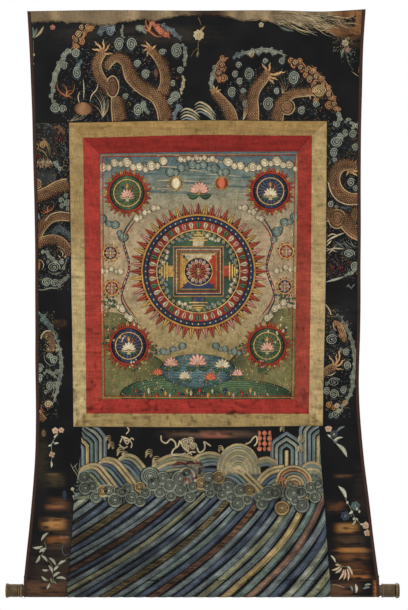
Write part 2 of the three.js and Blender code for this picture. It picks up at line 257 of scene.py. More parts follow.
PANELS = {
    "top_panel": Panel(left_bound, right_bound, top_edge, head_seam),
    "left_panel": Panel(left_bound, upright(GOLD.tl, GOLD.bl), head_seam, foot_seam),
    "right_panel": Panel(upright(GOLD.tr, GOLD.br, GOLD.right), right_bound, head_seam, foot_seam),
    "lower_left_panel": Panel(left_bound, left_seam, foot_seam, level(HEM_END)),
    "lower_middle_panel": Panel(left_seam, right_seam, foot_seam, level(HEM_END)),
    "lower_right_panel": Panel(right_seam, right_bound, foot_seam, level(HEM_END)),
    "left_binding": Panel(left_edge, left_bound, top_edge, level(HEM_END)),
    "right_binding": Panel(right_bound, right_edge, top_edge, level(HEM_END)),
    **{f"gold_{side}": panel for side, panel in border(GOLD, RED).items()},
    **{f"red_{side}": panel for side, panel in border(RED, CANVAS).items()},
    "painting": Panel(upright(CANVAS.tl, CANVAS.bl, 1), upright(CANVAS.tr, CANVAS.br),
                      across(CANVAS.tl, CANVAS.tr, CANVAS.top), across(CANVAS.bl, CANVAS.br)),
}


def spread(panel, u, v):
    """Flat points of a panel at shares u across and v down."""
    x = np.zeros(np.broadcast(u, v).shape)
    z = panel.top(x) * (1 - v) + panel.bottom(x) * v
    for _ in range(6):
        x = panel.left(z) * (1 - u) + panel.right(z) * u
        z = panel.top(x) * (1 - v) + panel.bottom(x) * v
    return x, z


def shares(length, cell):
    """Even shares of a side, with close ones beside its two seams."""
    even = np.linspace(0, 1, max(2, round(length / cell)) + 1)
    close = np.array(SEAM_POINTS) / length
    return np.unique(np.concatenate([even, close, 1 - close]))


def panel_size(panel):
    """Mean width and height, and the flat area, in millimetres."""
    u, v = np.meshgrid(np.linspace(0, 1, 9), np.linspace(0, 1, 33))
    x, z = spread(panel, u, v)
    width = (x[:, -1] - x[:, 0]).mean()
    height = (z[0] - z[-1]).mean()
    edges = np.stack([x, z], axis=-1)
    ring = np.vstack([edges[0], edges[1:, -1], edges[-1, -2::-1], edges[-2:0:-1, 0]])
    area = abs((ring[:, 0] * np.roll(ring[:, 1], 1) - np.roll(ring[:, 0], 1) * ring[:, 1]).sum()) / 2
    return width, height, area


def new_mesh(name, points, faces, material, tints=None, uv=None, face_material=None, rounded=True):
    """A mesh object from frame points in metres, with a colour and a uv for each point."""
    mesh = bpy.data.meshes.new(name)
    mesh.from_pydata(points.tolist(), [], faces)
    if tints is not None:
        layer = mesh.color_attributes.new("tint", "FLOAT_COLOR", "POINT")
        layer.data.foreach_set("color", np.column_stack([tints, np.ones(len(tints))]).ravel())
    if uv is not None:
        loops = np.empty(len(mesh.loops), int)
        mesh.loops.foreach_get("vertex_index", loops)
        mesh.uv_layers.new(name="flat").data.foreach_set("uv", uv[loops].ravel())
    materials = material if isinstance(material, (list, tuple)) else [material]
    for entry in materials:
        mesh.materials.append(entry)
    if face_material is not None:
        mesh.polygons.foreach_set("material_index", face_material)
    mesh.polygons.foreach_set("use_smooth", [rounded] * len(mesh.polygons))
    mesh.validate()
    obj = bpy.data.objects.new(name, mesh)
    bpy.context.scene.collection.objects.link(obj)
    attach(obj, "root")
    return obj


def value_noise(x, z, cell, seed, stretch=1.0):
    """Smooth noise from 0 to 1 on a lattice of that cell, drawn out sideways by stretch."""
    table = np.random.default_rng(seed).random((64, 64))
    a, b = x / (cell * stretch) + 300, z / cell + 600
    i, j = np.floor(a).astype(int), np.floor(b).astype(int)
    fa, fb = smoothstep(a - i, 0, 1), smoothstep(b - j, 0, 1)
    corner = [table[(i + di) % 64, (j + dj) % 64] for di in (0, 1) for dj in (0, 1)]
    near = corner[0] * (1 - fb) + corner[1] * fb
    far = corner[2] * (1 - fb) + corner[3] * fb
    return near * (1 - fa) + far * fa


def linear(colour):
    """An sRGB colour out of 255, as the light it returns under this scene's light."""
    c = np.asarray(colour, float) / 255
    c = np.where(c <= 0.04045, c / 12.92, ((c + 0.055) / 1.055) ** 2.4)
    return c / LIGHT_GAIN


def cloth_sheet(name, front, back, tint=None, cell=CELL, sewn="ltrb"):
    """The sheet of cloth that stands for a panel's node, drawn in at the sides that are sewn."""
    panel = PANELS[name]
    width, height, _ = panel_size(panel)
    u, v = np.meshgrid(shares(width, cell), shares(height, cell))
    x, z = spread(panel, u, v)
    edge = np.full(u.shape, 1e3)
    for side, away in (("l", u * width), ("r", (1 - u) * width), ("t", v * height), ("b", (1 - v) * height)):
        if side in sewn:
            edge = np.minimum(edge, away)
    tuck = SEAM_TUCK * np.exp(-(edge / SEAM_REACH) ** 2)
    rows, columns = u.shape
    count = rows * columns
    points = np.concatenate([
        on_cloth(x, z, SHEET / 2 - tuck).reshape(-1, 3),
        on_cloth(x, z, -SHEET / 2 + 0.3 * tuck).reshape(-1, 3),
    ])
    index = np.arange(count).reshape(rows, columns)
    quads = np.stack([index[:-1, :-1], index[1:, :-1], index[1:, 1:], index[:-1, 1:]], axis=-1).reshape(-1, 4)
    ring = np.concatenate([index[0, :-1], index[:-1, -1], index[-1, :0:-1], index[:0:-1, 0]])
    after = np.roll(ring, -1)
    rim = np.stack([ring, after, after + count, ring + count], axis=-1)
    faces = np.concatenate([quads, (quads + count)[:, ::-1], rim])
    slots = np.concatenate([np.zeros(len(quads)), np.ones(len(quads)), np.zeros(len(rim))]).astype(int)
    flat = np.stack([x, z], axis=-1).reshape(-1, 2)
    tints = None
    if tint is not None:
        tints = np.concatenate([tint(flat[:, 0], flat[:, 1])] * 2)
    obj = new_mesh(f"{name}_cloth", points, faces.tolist(), [front, back], tints,
                   np.concatenate([flat, flat]) * MM, slots)
    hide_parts(name)
    return obj


class Relief:
    """Work laid on the cloth in low relief: strokes gathered into one mesh."""

    def __init__(self, floor=0.05):
        self.floor = floor
        self.points, self.faces, self.tints, self.uv = [], [], [], []
        self.count = 0

    def stroke(self, path, width, colour, edge=None, rise=0.5, base=0.0, shape="bar", columns=5,
               step=None, curved=True, twist=None, flat_top=False, level=False):
        """A raised stroke along a path: one width or several, its middle colour and its edge one.
        twist is the pitch of a cord's turns, their grooves painted darker and their ridges lighter; a level
        stroke's width is measured along x."""
        width = np.atleast_1d(np.asarray(width, float))
        columns = max(columns, 2 * int(width.max() / COLUMN) + 1)
        path = smooth(path, step or max(1.2, min(5.0, width.max() * 0.7)), curved)
        middle = linear(colour)
        if columns == 5 and (width.max() < NARROW or rise < LOW):
            columns = 3 if width.max() < NARROW else 4
        if twist is None and middle.ndim == 1:
            path = thinned(path, width, SHAPES[shape])
        along = arc_length(path)
        k = along / max(along[-1], 1e-6)
        width = np.interp(k, np.linspace(0, 1, len(width)), width)
        side = np.tile([1.0, 0.0], (len(path), 1)) if level else directions(path)[1]
        size = SHAPES[shape](k)
        v = np.linspace(-1, 1, columns)
        offset = v[None, :] * (size * width / 2)[:, None]
        flat = path[:, None, :] + side[:, None, :] * offset[:, :, None]
        dome = 1 - v ** 8 if flat_top else np.sqrt(np.clip(1 - v ** 2, 0, 1))
        lift = self.floor + base + rise * dome[None, :] * np.clip(size, 0.15, 1)[:, None]
        mix = (np.abs(v) ** 2)[None, :, None]
        if middle.ndim == 2:
            middle = np.stack([np.interp(k, np.linspace(0, 1, len(middle)), middle[:, c]) for c in range(3)],
                              axis=1)[:, None]
        rim = middle if edge is None else linear(edge)
        tints = middle * (1 - mix) + rim * mix
        tints = np.broadcast_to(tints, (*offset.shape, 3))
        if twist:
            # Painted shade and highlight: each turn of the cord is darker where it dips into its groove and
            # lighter on its ridge; the speckle is the threads' uneven wear.
            turn = 0.5 + 0.5 * np.cos(2 * np.pi * (along[:, None] - 1.1 * offset) / twist)
            lift = lift - 0.22 * rise * turn * dome[None, :]
            speckle = RNG.uniform(0.62, 1.2, offset.shape)
            tints = tints * ((1.16 - 0.4 * turn) * speckle)[:, :, None]
        rows = len(path)
        index = self.count + np.arange(rows * columns).reshape(rows, columns)
        self.count += rows * columns
        flats, lifts, colours = [flat], [lift], [tints]
        uv = [np.stack(np.broadcast_arrays(along[:, None], offset), axis=-1)]
        below = index[:, [0, -1]]
        if columns > 7:
            flats.append(flat[:, 1:-1])
            lifts.append(np.full((rows, columns - 2), self.floor + base))
            colours.append(tints[:, 1:-1])
            uv.append(uv[0][:, 1:-1])
            inner = self.count + np.arange(rows * (columns - 2)).reshape(rows, columns - 2)
            self.count += rows * (columns - 2)
            below = np.concatenate([index[:, :1], inner, index[:, -1:]], axis=1)
        for grid, turned in ((index, -1), (below, 1)):
            quads = np.stack([grid[:-1, :-1], grid[:-1, 1:], grid[1:, 1:], grid[1:, :-1]], axis=-1)
            self.faces += quads.reshape(-1, 4)[:, ::turned].tolist()
        self.faces += [np.concatenate([index[0], below[0, -2:0:-1]]).tolist(),
                       np.concatenate([index[-1, ::-1], below[-1, 1:-1]]).tolist()]
        self.points += [np.column_stack([f.reshape(-1, 2), h.ravel()]) for f, h in zip(flats, lifts)]
        self.tints += [c.reshape(-1, 3) for c in colours]
        self.uv += [c.reshape(-1, 2) for c in uv]

    def finish(self, name, panel, material, slot, wear=0.5):
        """One mesh of all strokes, cut off at the panel's seams, its colours worn unevenly."""
        points = np.concatenate(self.points)
        x, z, lift = points.T
        left, right = panel.left(z) + SIDE_MARGIN, panel.right(z) - SIDE_MARGIN
        top, bottom = panel.top(x) - END_MARGIN, panel.bottom(x) + END_MARGIN
        outside = (x < left) | (x > right) | (z > top) | (z < bottom)
        x = np.clip(x, left, right)
        z = np.clip(z, bottom, top)
        gone = outside.tolist()
        faces = [face for face in self.faces if not all(gone[i] for i in face)]
        used = np.unique(np.concatenate([np.array(face) for face in faces]))
        renumber = np.zeros(len(points), int)
        renumber[used] = np.arange(len(used))
        renumber = renumber.tolist()
        faces = [[renumber[i] for i in face] for face in faces]
        place = on_cloth(x, z, SHEET / 2 + lift)[used]
        age = 0.98 + wear * (value_noise(x, z, 26, 1) - 0.5) + 0.16 * value_noise(x, z, 5, 2)
        age *= 1 - 0.45 * wear * smoothstep(-z, 1240, 1330) * smoothstep(-x, -60, 180)
        tints = np.concatenate(self.tints) * age[:, None]
        obj = new_mesh(name, place, faces, material, tints[used], np.concatenate(self.uv)[used] * MM)
        return obj


# How a stroke's width runs along it, from the share of its length
SHAPES = {
    "bar": lambda k: np.clip(np.minimum(k, 1 - k) * 14 + 0.45, 0, 1),
    "ring": lambda k: np.ones_like(k),
    "leaf": lambda k: np.maximum(np.sin(np.pi * np.clip(k, 0, 1)) ** 0.8, 0.04),
    "oval": lambda k: np.maximum(np.sqrt(np.clip(1 - (2 * k - 1) ** 2, 0, 1)), 0.05),
    "petal": lambda k: np.maximum(np.sin(np.pi * np.clip(k, 0, 1) ** 1.7) ** 0.6, 0.05),
    "claw": lambda k: np.maximum((1 - k) ** 0.75, 0.05),
    "hair": lambda k: np.maximum(1 - k, 0.15),
}


def arc_length(path):
    """How far along a path each of its points lies."""
    return np.concatenate([[0], np.cumsum(np.hypot(*np.diff(path, axis=0).T))])


def reading(s, along, values):
    """The pair of values at a distance along a path."""
    return np.array([np.interp(s, along, values[:, k]) for k in (0, 1)])


def directions(path):
    """Unit vectors along a path and to its left."""
    run = np.gradient(path, axis=0)
    run /= np.maximum(np.hypot(*run.T), 1e-9)[:, None]
    return run, np.stack([-run[:, 1], run[:, 0]], axis=1)


def aside(path, distance):
    """A path moved to its left by a distance."""
    return path + directions(path)[1] * np.atleast_1d(distance)[:, None]


def ellipse(centre, rx, rz, turn):
    """Points round a centre at each angle; radii that shrink with the angle make a spiral."""
    return np.stack([centre[0] + rx * np.cos(turn), centre[1] + rz * np.sin(turn)], axis=1)


def thinned(path, width, shape):
    """The path with fewer points where both it and its stroke's sides run nearly straight."""
    along = arc_length(path)
    if along[-1] < 1e-3 or len(path) < 5:
        return path
    k = along / along[-1]
    half = shape(k) * np.interp(k, np.linspace(0, 1, len(width)), width) / 2
    s = np.maximum(np.gradient(along), 1e-6)
    run = np.gradient(path, axis=0) / s[:, None]
    bend = np.hypot(*(np.gradient(run, axis=0) / s[:, None]).T)
    flare = np.abs(np.gradient(np.gradient(half) / s) / s)
    need = s * (np.sqrt((bend * (1 + bend * half) + flare) / (8 * SAG)) + 1 / LONGEST_STEP)
    need = np.concatenate([[0], np.cumsum((need[1:] + need[:-1]) / 2)])
    marks = np.linspace(0, need[-1], max(3, math.ceil(need[-1])) + 1)
    return path[np.unique(np.abs(need[None, :] - marks[:, None]).argmin(axis=1))]


def smooth(points, step, curved=True):
    """Evenly stepped points on a smooth curve, or on straight runs, through a few points."""
    points = np.asarray(points, float)
    gaps = np.maximum(np.hypot(*np.diff(points, axis=0).T), 1e-6)
    at = np.concatenate([[0], np.cumsum(gaps)])
    if len(points) < 3 or not curved:
        t = np.unique(np.concatenate([np.linspace(0, at[-1], max(3, int(at[-1] / step) + 1)), at]))
        return np.stack([np.interp(t, at, points[:, k]) for k in (0, 1)], axis=1)
    t = np.linspace(0, at[-1], max(4, int(at[-1] / step) + 1))
    return np.stack([hermite(at, points[:, k], t) for k in (0, 1)], axis=1)


# Threads
Tone = namedtuple("Tone", "light mid dark")
CLOUD = Tone((164, 166, 146), (104, 114, 104), (44, 50, 52))
SLATE = Tone((134, 144, 142), (84, 97, 106), (38, 44, 52))
SAGE = Tone((158, 156, 124), (118, 124, 98), (52, 56, 48))
AMBER = Tone((192, 146, 100), (144, 94, 62), (64, 42, 34))
RUST = Tone((176, 92, 62), (134, 58, 42), (62, 34, 30))
GILT = Tone((200, 176, 124), (150, 124, 80), (72, 56, 42))
CREAM = Tone((208, 194, 160), (178, 160, 124), (92, 76, 60))
SCALE = Tone((200, 160, 114), (150, 110, 76), (60, 42, 32))
HORN = (196, 172, 128)
PINK = Tone((206, 150, 136), (172, 102, 92), (88, 48, 46))
NAVY = Tone((92, 104, 120), (54, 62, 76), (30, 34, 42))
WEARY = Tone((160, 140, 98), (116, 100, 66), (48, 42, 34))
RUSSET = Tone((150, 112, 88), (102, 70, 54), (44, 32, 30))
TEAL = Tone((128, 142, 132), (76, 98, 100), (38, 50, 52))
SAND = Tone((198, 178, 134), (164, 144, 104), (66, 58, 48))
CORAL = Tone((206, 128, 98), (176, 94, 72), (70, 38, 34))
BLEACHED = Tone((204, 204, 182), (168, 168, 144), (96, 100, 88))
PALE_ROSE = Tone((226, 198, 170), (200, 160, 132), (124, 86, 72))
DULL = Tone((100, 104, 98), (66, 70, 68), (34, 36, 38))
DIM = Tone((196, 148, 104), (136, 98, 68), (50, 36, 30))
HORNED = Tone((196, 172, 128), (150, 116, 80), (72, 48, 36))
ROSY = Tone((146, 116, 98), (98, 72, 62), (48, 36, 34))
BLOOD = Tone((116, 48, 48), (72, 34, 36), (36, 24, 26))

# The grids the embroidery was drawn on: the corner they count from and one step, in mm.
# They count right and down.
Grid = namedtuple("Grid", "x z step")
TOP_LEFT = Grid(-490, 26.25, 0.3253)
TOP_RIGHT = Grid(20, 26.25, 0.3253)
TOP_MIDDLE = Grid(-77.5, 1.25, 0.1834)
WHOLE = Grid(-490, 26.25, 2.5)


class Needle:
    """Embroidery on one panel, drawn on a grid."""

    def __init__(self, work, grid):
        self.work, self.grid = work, grid

    def at(self, points):
        """Where points of the grid lie, in millimetres."""
        flat = np.asarray(points, float)
        return np.stack([self.grid.x + flat[..., 0] * self.grid.step,
                         self.grid.z - flat[..., 1] * self.grid.step], axis=-1)

    def size(self, value):
        """A length of the grid in millimetres."""
        return np.asarray(value, float) * self.grid.step

    def stem(self, path, width, colour, edge=None, **how):
        """A plain stroke, its width in millimetres."""
        self.work.stroke(self.at(path), width, colour, edge, **how)

    def disc(self, centre, rx, rz, colour, edge=None, base=0.0, rise=0.3):
        """A filled ellipse."""
        disc(self.work, self.at(centre), self.size(rx), self.size(rz), colour, edge, base, rise)

    def curls(self, table, tone):
        """Cloud heads: rows of x, y and one or two radii."""
        for x, y, rx, *rest in table:
            rz = rest[0] if rest else rx
            curl(self.work, self.at((x, y)), self.size(rx), self.size(rz), tone)

    def cloud(self, path, width, tone, heads=()):
        """A cloud's band, with heads along it."""
        cloud_band(self.work, self.at(path), self.size(width), tone)
        self.curls(heads, tone)

    def dragon(self, path, width, belly=1, tone=SCALE):
        """A dragon's body or limb."""
        dragon_body(self.work, self.at(path), self.size(width), belly, tone)

    def paw(self, wrist, toes, spread=12):
        """A foot at the wrist, with a horn claw at each toe."""
        paw(self.work, self.at(wrist), self.at(toes), spread)

    def haunch(self, centre, rx, rz, patch=SCALE):
        """A limb's root: a rounded pad ringed with pale lines, dark at its heart."""
        self.disc(centre, rx, rz, patch.mid, patch.dark, 0.4, 0.7)
        turn = np.linspace(0, 2 * np.pi, 33)
        for share, tint, width in ((1.0, HORN, 3.0), (0.86, patch.dark, 1.6), (0.6, patch.light, 1.2),
                                   (0.5, patch.dark, 1.2)):
            loop = ellipse(centre, rx * share, rz * share, turn)
            lift = 0.4 + 0.68 * math.sqrt(1 - 0.96 * share * share)
            self.stem(loop, width, tint, base=lift, rise=0.25, shape="ring", columns=3)

    def hair(self, root, tips, colours, width=1.1):
        """Hair or whiskers from a root to each tip, in turns of colour."""
        start = self.at(root)
        for i, tip in enumerate(tips):
            end = self.at(tip)
            bend = (start + end) / 2 + np.array([end[1] - start[1], start[0] - end[0]]) * 0.12
            self.work.stroke([start, bend, end], width, colours[i % len(colours)], rise=0.35,
                             base=0.5, shape="hair", columns=3)

    def flame(self, root, tips, width=7):
        """A tongued flame from a root to each tip."""
        start = self.at(root)
        for i, tip in enumerate(tips):
            end = self.at(tip)
            side = np.array([end[1] - start[1], start[0] - end[0]]) * (0.2 if i % 2 else -0.2)
            mid = (start + end) / 2 + side
            self.work.stroke([start, mid, end], width, RUST.mid, RUST.dark, rise=0.4, base=0.2, shape="claw")
            self.work.stroke([start, mid, end], width * 0.35, AMBER.light, AMBER.mid, rise=0.3, base=0.5,
                             shape="claw", columns=3)

    def leaf(self, root, tip, width, tone):
        """A pointed leaf with a light vein."""
        start, end = self.at(root), self.at(tip)
        bend = (start + end) / 2 + np.array([end[1] - start[1], start[0] - end[0]]) * 0.08
        self.work.stroke([start, bend, end], width, tone.mid, tone.dark, rise=0.4, base=0.1, shape="leaf")
        self.work.stroke([start, bend, end], width * 0.18, tone.light, rise=0.2, base=0.45, shape="hair",
                         columns=3)

    def blossom(self, centre, radius, tone, petals=5, heart=GILT):
        """A round flower of short petals about its heart."""
        middle = self.at(centre)
        reach = float(self.size(radius))
        for i in range(petals):
            angle = 2 * np.pi * (i + 0.25) / petals
            tip = middle + reach * np.array([np.cos(angle), np.sin(angle)])
            self.work.stroke([middle, (middle + tip) / 2, tip], reach * 0.95, tone.mid, tone.light,
                             rise=0.4, base=0.15, shape="petal")
        disc(self.work, middle, reach * 0.3, reach * 0.3, heart.light, heart.dark, 0.5, 0.3)


def disc(work, centre, rx, rz, colour, edge=None, base=0.0, rise=0.3):
    """A filled ellipse: one upright stroke, its rows closer at its ends."""
    rows = rz * np.cos(np.linspace(0, np.pi, max(9, 2 * int(rz / 3) + 1)))
    path = np.stack([np.full(len(rows), centre[0]), centre[1] + rows], axis=1)
    work.stroke(path, 2 * rx, colour, edge, rise, base, "oval", step=1000, curved=False)


def curl(work, centre, rx, rz, tone, filled=False):
    """A cloud's head: a line winding in to a knob, light on dark or dark on a filled head."""
    small = min(rx, rz)
    turns = np.clip(0.17 * small, 1.15, 3.0)
    turn = np.linspace(0, turns * 2 * np.pi, int(12 * turns) + 2)
    start = -0.6 + (centre[0] * 0.37 + centre[1] * 0.23) % 1.5
    line = min(2.3, 0.26 * small)
    outer = 1 - 0.6 * line / small
    shrink = outer - (outer - 0.2) * turn / turn[-1]
    loop = ellipse(centre, rx * shrink, rz * shrink, turn + start)
    disc(work, centre, rx * 1.12, rz * 1.12, tone.dark, base=0.0, rise=0.18)
    if filled:
        pale = [0.5 * m + 0.5 * p for m, p in zip(tone.mid, tone.light)]
        disc(work, centre, rx, rz, pale, tone.mid, base=0.1, rise=0.3)
        rim = ellipse(centre, 0.93 * rx, 0.93 * rz, np.linspace(0, 2 * np.pi, 25))
        work.stroke(rim, 0.45 * line, tone.light, rise=0.2, base=0.2, shape="ring", columns=3)
        deep = [0.5 * c for c in tone.dark]
        work.stroke(centre + (loop - centre) * 0.86, 0.95 * line, deep, rise=0.14, base=0.42, shape="ring",
                    columns=3, step=small * 0.22)
    else:
        hollow = [0.45 * m + 0.55 * d for m, d in zip(tone.mid, tone.dark)]
        disc(work, centre, rx * 0.98, rz * 0.98, hollow, tone.dark, base=0.08, rise=0.1)
        bright = [min(255, 1.14 * c) for c in tone.light]
        work.stroke(loop, 1.1 * line, bright, tone.mid, rise=0.3, base=0.1, shape="ring", columns=3,
                    step=small * 0.22)
    disc(work, centre, rx * 0.14, rz * 0.14, tone.light, base=0.3, rise=0.2)


def cloud_band(work, path, width, tone):
    """A band of cloud: light strands in a dark border, with heads breaking out of it in turns."""
    line = smooth(path, 3.0)
    along = arc_length(line)
    taper = np.sin(np.pi * np.clip(along / along[-1], 0.02, 0.98)) ** 0.8
    work.stroke(line, width * 1.12, tone.dark, rise=0.15, shape="leaf")
    for share, size in ((-0.34, 0.15), (-0.12, 0.2), (0.12, 0.17), (0.34, 0.2)):
        work.stroke(aside(line, width * share * taper), max(1.5, width * size), tone.light, tone.mid,
                    rise=0.32, base=0.1, shape="leaf", columns=3)
    lobe = width * 0.42
    for i, s in enumerate(np.arange(lobe, along[-1] - lobe * 0.5, lobe * 2.3)):
        side = 1 if i % 2 else -1
        curl(work, reading(s, along, aside(line, side * width * 0.3)), lobe, lobe, tone)


def dragon_body(work, path, width, belly=1, tone=SCALE):
    """A dragon's body or limb: scaled back, pale edge on its belly side, dark border."""
    width = np.atleast_1d(np.asarray(width, float))
    line = smooth(path, 3.0)
    work.stroke(line, width * 1.1, tone.dark, rise=0.3)
    work.stroke(line, width, tone.mid, tone.dark, rise=0.75, base=0.12, columns=7)
    along = arc_length(line)
    run, normal = directions(line)
    wide = np.interp(along / along[-1], np.linspace(0, 1, len(width)), width)
    work.stroke(line + normal * (belly * wide * 0.44)[:, None], wide.mean() * 0.13, HORN, tone.mid,
                rise=0.3, base=0.5, columns=3)
    work.stroke(line + normal * (belly * wide * 0.29)[:, None], wide.mean() * 0.05, tone.light, tone.mid,
                rise=0.2, base=0.75, columns=3)
    pitch = 6.4
    for row, s in enumerate(np.arange(3.0, along[-1] - 2, pitch * 0.62)):
        centre, ahead = reading(s, along, line), reading(s, along, run)
        left = np.array([-ahead[1], ahead[0]])
        reach = np.interp(s, along, wide) * 0.5
        spots = np.arange(-reach + pitch * (0.35 + 0.5 * (row % 2)), reach * 0.9, pitch)
        for off in spots:
            share = off / reach * belly
            if share > 0.5 or share < -0.88:
                continue
            lift = 0.12 + 0.75 * math.sqrt(max(0.0, 1 - (off / reach) ** 2))
            middle = centre + left * off
            work.stroke([middle - left * 2.6 - ahead * 1.0, middle + ahead * 2.0,
                         middle + left * 2.6 - ahead * 1.0], 1.5, tone.dark, rise=0.18, base=lift + 0.03,
                        columns=3, shape="ring", step=2.0)
            dabs = (tone.light, GILT.light, tone.light, WEARY.light, ROSY.mid, tone.light)
            dab = dabs[int(7 * s + 3 * off) % len(dabs)]
            work.stroke([middle - ahead * 2.0, middle + ahead * 0.6], 3.2, dab, tone.mid, rise=0.2,
                        base=lift + 0.03, shape="leaf", columns=3, step=1.0)
    back = line - normal * (belly * wide * 0.5)[:, None]
    for s in np.arange(2.0, along[-1], 5.6):
        root, ahead = reading(s, along, back), reading(s, along, run)
        out = -belly * reading(s, along, normal)
        work.stroke([root - out, root + out * 1.4, root + out * 3.6 + ahead * 1.6], 2.4, tone.mid,
                    tone.dark, rise=0.3, base=0.15, shape="claw", columns=3, step=1.2)


def paw(work, wrist, toes, spread):
    """A foot: a pad, thick toes and a horn claw on each."""
    disc(work, wrist, spread * 0.66, spread * 0.66, SCALE.mid, SCALE.dark, 0.2, 0.8)
    for toe in toes:
        reach = toe - wrist
        bend = np.array([reach[1], -reach[0]]) * 0.12
        knuckle = wrist + reach * 0.5 + bend
        work.stroke([wrist, knuckle, wrist + reach * 0.8], spread * 0.44, SCALE.dark, rise=0.3, base=0.2)
        work.stroke([wrist, knuckle, wrist + reach * 0.8], spread * 0.34, SCALE.light, SCALE.mid, rise=0.5,
                    base=0.3)
        work.stroke([wrist + reach * 0.7, wrist + reach * 0.88 + bend * 0.6, toe], spread * 0.24, HORN,
                    SCALE.mid, rise=0.4, base=0.6, shape="claw")


def arch_bands(work, feet, peak, bands, pitch):
    """A rock drawn as nested gables, from the outermost band inwards to a filled core."""
    (left, base), (right, _) = feet
    middle = (left + right) / 2
    core = (right - left) / 2 - len(bands) * pitch
    work.stroke([(middle, peak - len(bands) * pitch * 1.3), (middle, base)], max(core * 2, pitch), GILT.light,
                GILT.dark, rise=0.45, base=0.1, shape="ring")
    for i, tone in enumerate(bands):
        half = (right - left) / 2 - i * pitch
        top = peak - i * pitch * 1.3
        eaves = top - half * 0.78
        path = [(middle - half, base), (middle - half, eaves), (middle - half * 0.8, eaves + half * 0.25),
                (middle, top), (middle + half * 0.8, eaves + half * 0.25), (middle + half, eaves),
                (middle + half, base)]
        line = smooth(path, 2.5, curved=False)
        work.stroke(line, pitch * 1.08, tone.dark, rise=0.2, base=0.02 * i, shape="ring")
        work.stroke(line, pitch * 0.8, tone.light, tone.mid, rise=0.45, base=0.1 + 0.02 * i, shape="ring")
        work.stroke(aside(line, pitch * 0.1), pitch * 0.1, tone.dark, rise=0.12, base=0.5 + 0.02 * i,
                    shape="ring", columns=3)


def wave_line(work, line, pitch, tone, base):
    """One band of a wave: its dark bounds, its face and two rows of fine dark stitches."""
    work.stroke(line, pitch * 1.14, tone.dark, rise=0.12, base=base, shape="ring")
    work.stroke(line, pitch * 0.9, tone.light, tone.mid, rise=0.3, base=base + 0.06, shape="ring")
    for share in (-0.16, 0.16):
        work.stroke(aside(line, pitch * share), pitch * 0.07, tone.dark, rise=0.08, base=base + 0.34,
                    shape="ring", columns=3)


def wave_hill(work, path, tones, pitch, foot, level):
    """A rolling wave: bands that follow its back, each inside the last, down to a filled core."""
    crest = smooth(path, 3.0)
    middle = crest.mean(axis=0)
    middle[1] = foot
    reach = max(np.ptp(crest[:, 1]), np.ptp(crest[:, 0]) * 0.5)
    for i in range(int(reach / pitch) + 1):
        line = middle + (crest - middle) * max(0.06, 1 - i * pitch / reach)
        wave_line(work, line, pitch, tones[i % len(tones)], 0.3 * level + 0.02 * i)


def wave_bands(work, path, tones, pitch, drift, level):
    """A wave's slope: side by side bands, each a step along drift and under the last."""
    crest = smooth(path, 3.0)
    for i, tone in enumerate(tones):
        wave_line(work, crest + np.multiply(drift, i), pitch, tone, 0.3 * level - 0.03 * i)


